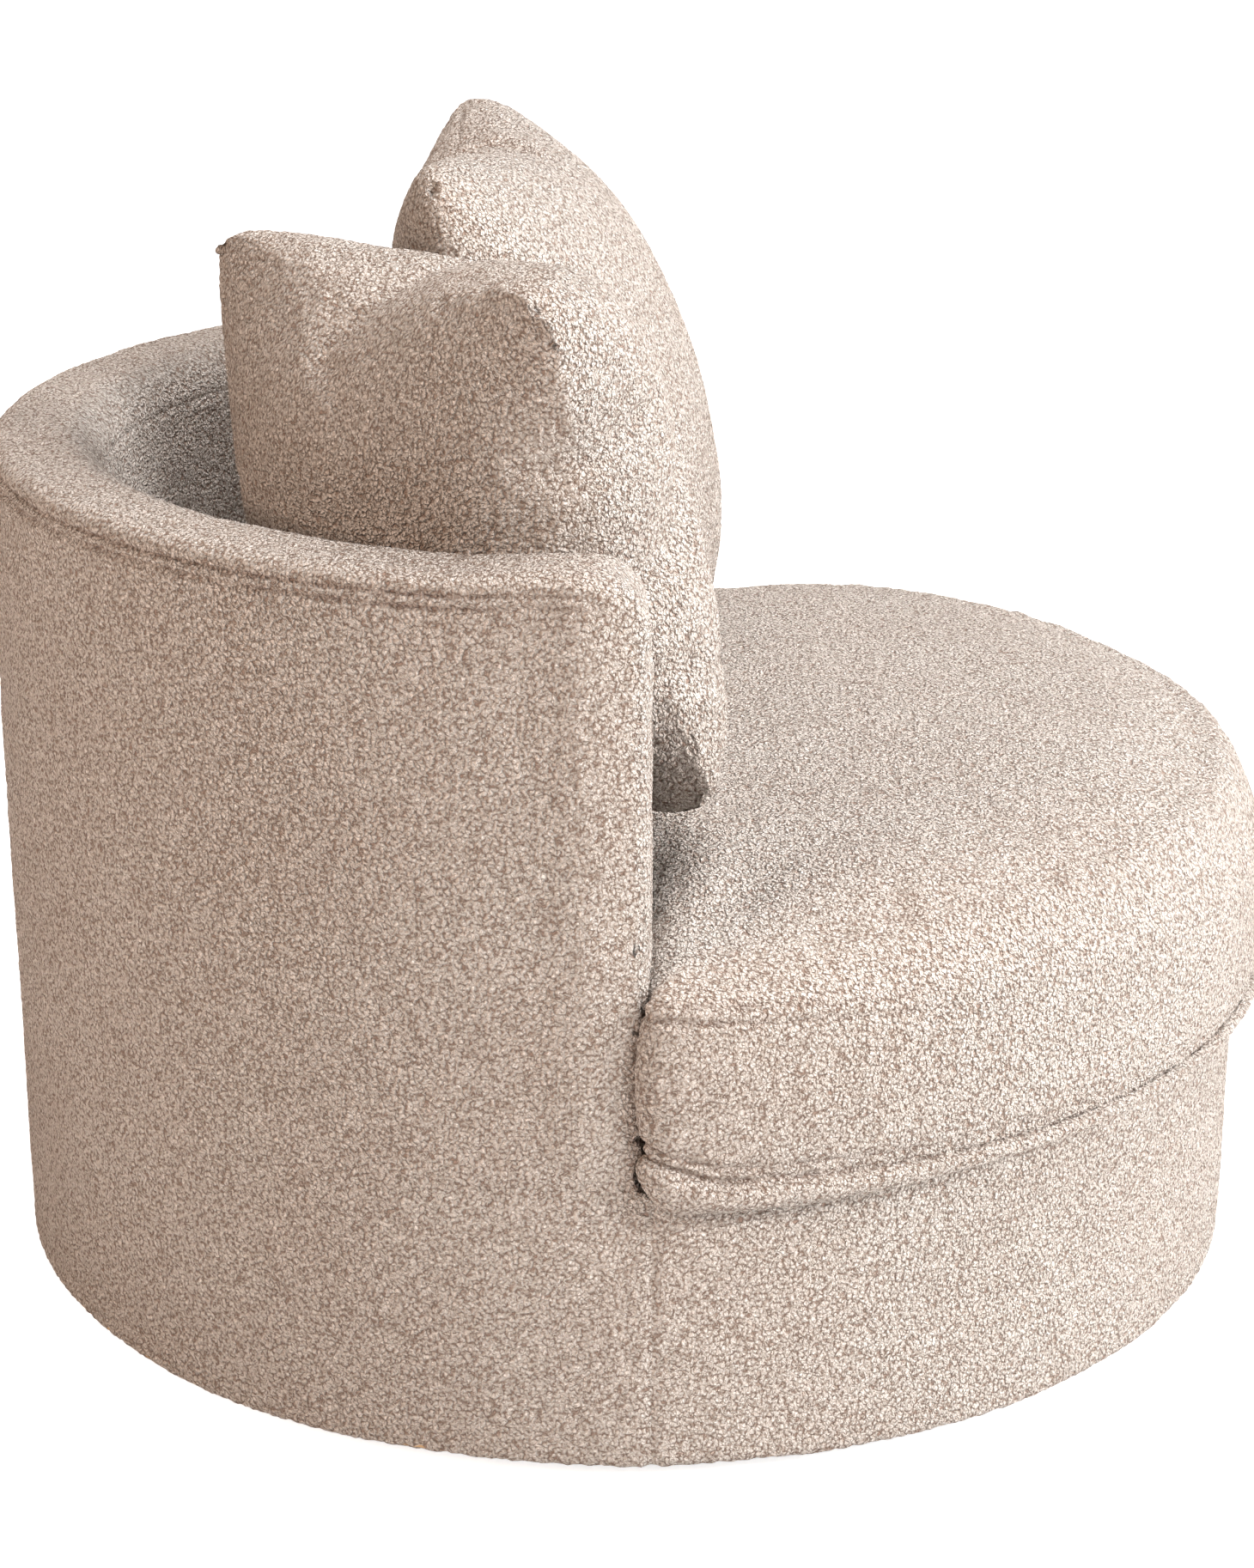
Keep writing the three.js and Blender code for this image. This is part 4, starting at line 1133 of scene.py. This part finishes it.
def pillow(name, p):
    """A pillow's cloth and filling: the pull of the blown-up flat squares, laid on its crowned form."""
    even = np.linspace(-1, 1, PILLOW_CELLS + 1)
    start, faces, number, behind = two_faced(*pillow_faces(even, FLAT_DEPTH, FLAT_DEPTH, p))
    start = start + 0.0015 * np.stack([wave(start, 0.05, p["seed"] + k) for k in range(3)], axis=1)
    filling = make(name.replace("cloth", "fibre"), start, faces, SLOT_FINISHES["fibre"])
    moved = swelled(filling, pressure=6.0, frames=24, bending=1.0, limit=0.2)
    low, high = moved.min(0), moved.max(0)
    moved = moved - (low + high) / 2 * np.array([0, 1, 1])
    moved *= np.array([1, p["width"], p["height"]]) / np.array([1, *(high - low)[1:]])
    ahead = moved[:, 0] > 0
    moved[ahead, 0] *= p["front"] / moved[:, 0].max()
    moved[~ahead, 0] *= p["back"] / -moved[:, 0].min()
    full = pillow_faces(even, p["front"], p["back"], p)
    pulls = [PULL_SHARES * (moved[grid] - face) for grid, face in zip((number, behind), full)]
    turned, place = pillow_pose(p)
    inner, _, _, _ = two_faced(*[slumped(face + pull, p, turned) for face, pull in zip(full, pulls)])
    write(filling, inner)
    spots = np.sin(np.linspace(-1, 1, PILLOW_FINE + 1) * math.pi / 2)
    at = (spots + 1) / 2 * PILLOW_CELLS
    skins = []
    for face, pull in zip(pillow_faces(spots, p["front"], p["back"], p), pulls):
        spread_pull = spline(spline(pull, at).swapaxes(0, 1), at).swapaxes(0, 1)
        inward = [p[size] / 2 - np.abs(face[..., axis]) for axis, size in ((1, "width"), (2, "height"))]
        edge = np.hypot(np.minimum(*inward), face[..., 0])
        corner = np.hypot(*inward)
        measures = [edge[..., None], corner[..., None], outward(face, p)]
        skins.append(np.concatenate([slumped(face + spread_pull, p, turned), *measures], axis=-1))
    fine, faces, _, _ = two_faced(*skins)
    points, edge, corner, away = fine[:, :3], fine[:, 3], fine[:, 4], fine[:, 5:]
    piece = make(name, points, faces, BOUCLE)
    points, normals = read(piece)
    sewn = bump(edge, PILLOW_SEAM_WIDTH) * (0.75 + 0.35 * wave(points, 0.03, p["seed"] + 6))
    relief = -PILLOW_SEAM_DEPTH * sewn - PINCH_DEPTH * bump(corner - PINCH_AT, PINCH_WIDTH)
    relief += PILLOW_PUCKER * bump(edge - 0.018, 0.016) * wave(points, 0.020, p["seed"] + 7)
    relief += PILLOW_UNEVEN * wave(points, 0.11, p["seed"] + 8) * smooth(edge / 0.05)
    points = points + eased(normals, away, edge) * relief[:, None]
    write(piece, points @ turned.T + place)
    points, normals = read(piece)
    points, pile_and_shade = pile(points, eased(normals, away @ turned.T, edge))
    # Painted shade darkens the cloth along the pillow's seam
    write(piece, points, pile_and_shade * (1 - 0.35 * np.clip(sewn, 0, 1)))
    points, normals = read(filling)
    write(filling, (points - FIBRE_INSET * normals) @ turned.T + place)
    return piece, filling


near, near_fibre = pillow("near_pillow_cloth", NEAR)
far, far_fibre = pillow("far_pillow_cloth", FAR)

# What each piece moves with, stands for and is made of
for piece, body, node, slot in (
    (outer, "seat_unit", "outer_cover", "boucle"),
    (front, "seat_unit", "front_cover", "boucle"),
    (rim, "seat_unit", "rim_cover", "boucle"),
    (inside, "seat_unit", "inner_cover", "boucle"),
    (left_facing, "seat_unit", "left_arm_facing", "boucle"),
    (right_facing, "seat_unit", "right_arm_facing", "boucle"),
    (cushion, "seat_cushion", "seat_cushion_cover", "boucle"),
    (near, "near_pillow", "near_pillow_cover", "boucle"),
    (far, "far_pillow", "far_pillow_cover", "boucle"),
    (core, "seat_cushion", "seat_cushion_core", "foam"),
    (near_fibre, "near_pillow", "near_pillow_filling", "fibre"),
    (far_fibre, "far_pillow", "far_pillow_filling", "fibre"),
):
    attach(piece, body)
    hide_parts(node)


# Floor, light and camera


def background_rays(tree):
    """1 for rays that see a plain white background: the camera's, and those off gloss or through glass."""
    rays = tree.nodes.new("ShaderNodeLightPath").outputs
    seen = rays["Is Camera Ray"]
    for name in ("Is Glossy Ray", "Is Transmission Ray"):
        either = tree.nodes.new("ShaderNodeMath")
        either.operation = "MAXIMUM"
        tree.links.new(seen, either.inputs[0])
        tree.links.new(rays[name], either.inputs[1])
        seen = either.outputs[0]
    return seen


floor_mesh = bpy.data.meshes.new("floor")
floor_mesh.from_pydata([(-9, -9, 0), (9, -9, 0), (9, 14, 0), (-9, 14, 0)], [], [(0, 1, 2, 3)])
floor = bpy.data.objects.new("floor", floor_mesh)
bpy.context.scene.collection.objects.link(floor)
paint = Finish("floor_paint", roughness=0.9)
tone = paint.ramp(paint.noise(3.0), (0.3, (0.80, 0.80, 0.80)), (0.7, (0.82, 0.82, 0.82)))
away = paint.fill(paint.add("ShaderNodeVectorMath", operation="LENGTH"), Vector=paint.place).outputs["Value"]
glow = paint.math("MULTIPLY", background_rays(paint.tree), paint.spread(away, 0.8, 2.2, 0.80, 1.1))
paint.fill(paint.shader, Base_Color=tone, Emission_Color=(1, 1, 1, 1), Emission_Strength=glow)
floor_mesh.materials.append(paint.material)

world = bpy.data.worlds.new("studio")
bpy.context.scene.world = world
world.use_nodes = True
tree = world.node_tree
sky = tree.nodes["Background"]
sky.inputs["Color"].default_value = (1.0, 0.80, 0.68, 1)
sky.inputs["Strength"].default_value = 0.15
white = tree.nodes.new("ShaderNodeBackground")
white.inputs["Color"].default_value = (1, 1, 1, 1)
white.inputs["Strength"].default_value = 1.0
choose = tree.nodes.new("ShaderNodeMixShader")
tree.links.new(background_rays(tree), choose.inputs[0])
tree.links.new(sky.outputs[0], choose.inputs[1])
tree.links.new(white.outputs[0], choose.inputs[2])
tree.links.new(choose.outputs[0], tree.nodes["World Output"].inputs["Surface"])

# Square softboxes, all aimed at one point: place, side, power and colour
LAMP_AIM = Vector((0, 0, 0.45))
LAMPS = {
    "key": ((2.8, -2.2, 2.7), 0.9, 120, (1, 1, 1)),
    "right": ((3.4, -1.2, 1.2), 1.2, 107, (1, 1, 1)),
    "overhead": ((1.1, -0.2, 3.6), 2.4, 140, (1, 1, 1)),
    "fill": ((-3.0, -2.6, 2.0), 1.6, 102, (1.0, 0.78, 0.64)),
    "rear": ((-1.0, 3.8, 1.5), 1.6, 62, (1.0, 0.88, 0.80)),
}
for name, (place, side, power, colour) in LAMPS.items():
    light = bpy.data.lights.new(name, "AREA")
    light.shape = "SQUARE"
    light.size = side
    light.energy = power
    light.color = colour
    lamp = bpy.data.objects.new(name, light)
    lamp.location = place
    lamp.rotation_mode = "QUATERNION"
    lamp.rotation_quaternion = (LAMP_AIM - Vector(place)).to_track_quat("-Z", "Y")
    bpy.context.scene.collection.objects.link(lamp)

camera_data = bpy.data.cameras.new("photo_camera")
camera_data.sensor_fit = "VERTICAL"
camera_data.sensor_width = camera_data.sensor_height = SENSOR
camera_data.lens = CAMERA_LENS
camera_data.clip_end = 100
camera = bpy.data.objects.new("photo_camera", camera_data)
camera.location = CAMERA_PLACE
camera.rotation_euler = (CAMERA_PITCH * DEGREE, 0, 0)
bpy.context.scene.collection.objects.link(camera)
bpy.context.scene.camera = camera
bpy.context.scene.view_settings.view_transform = "Standard"
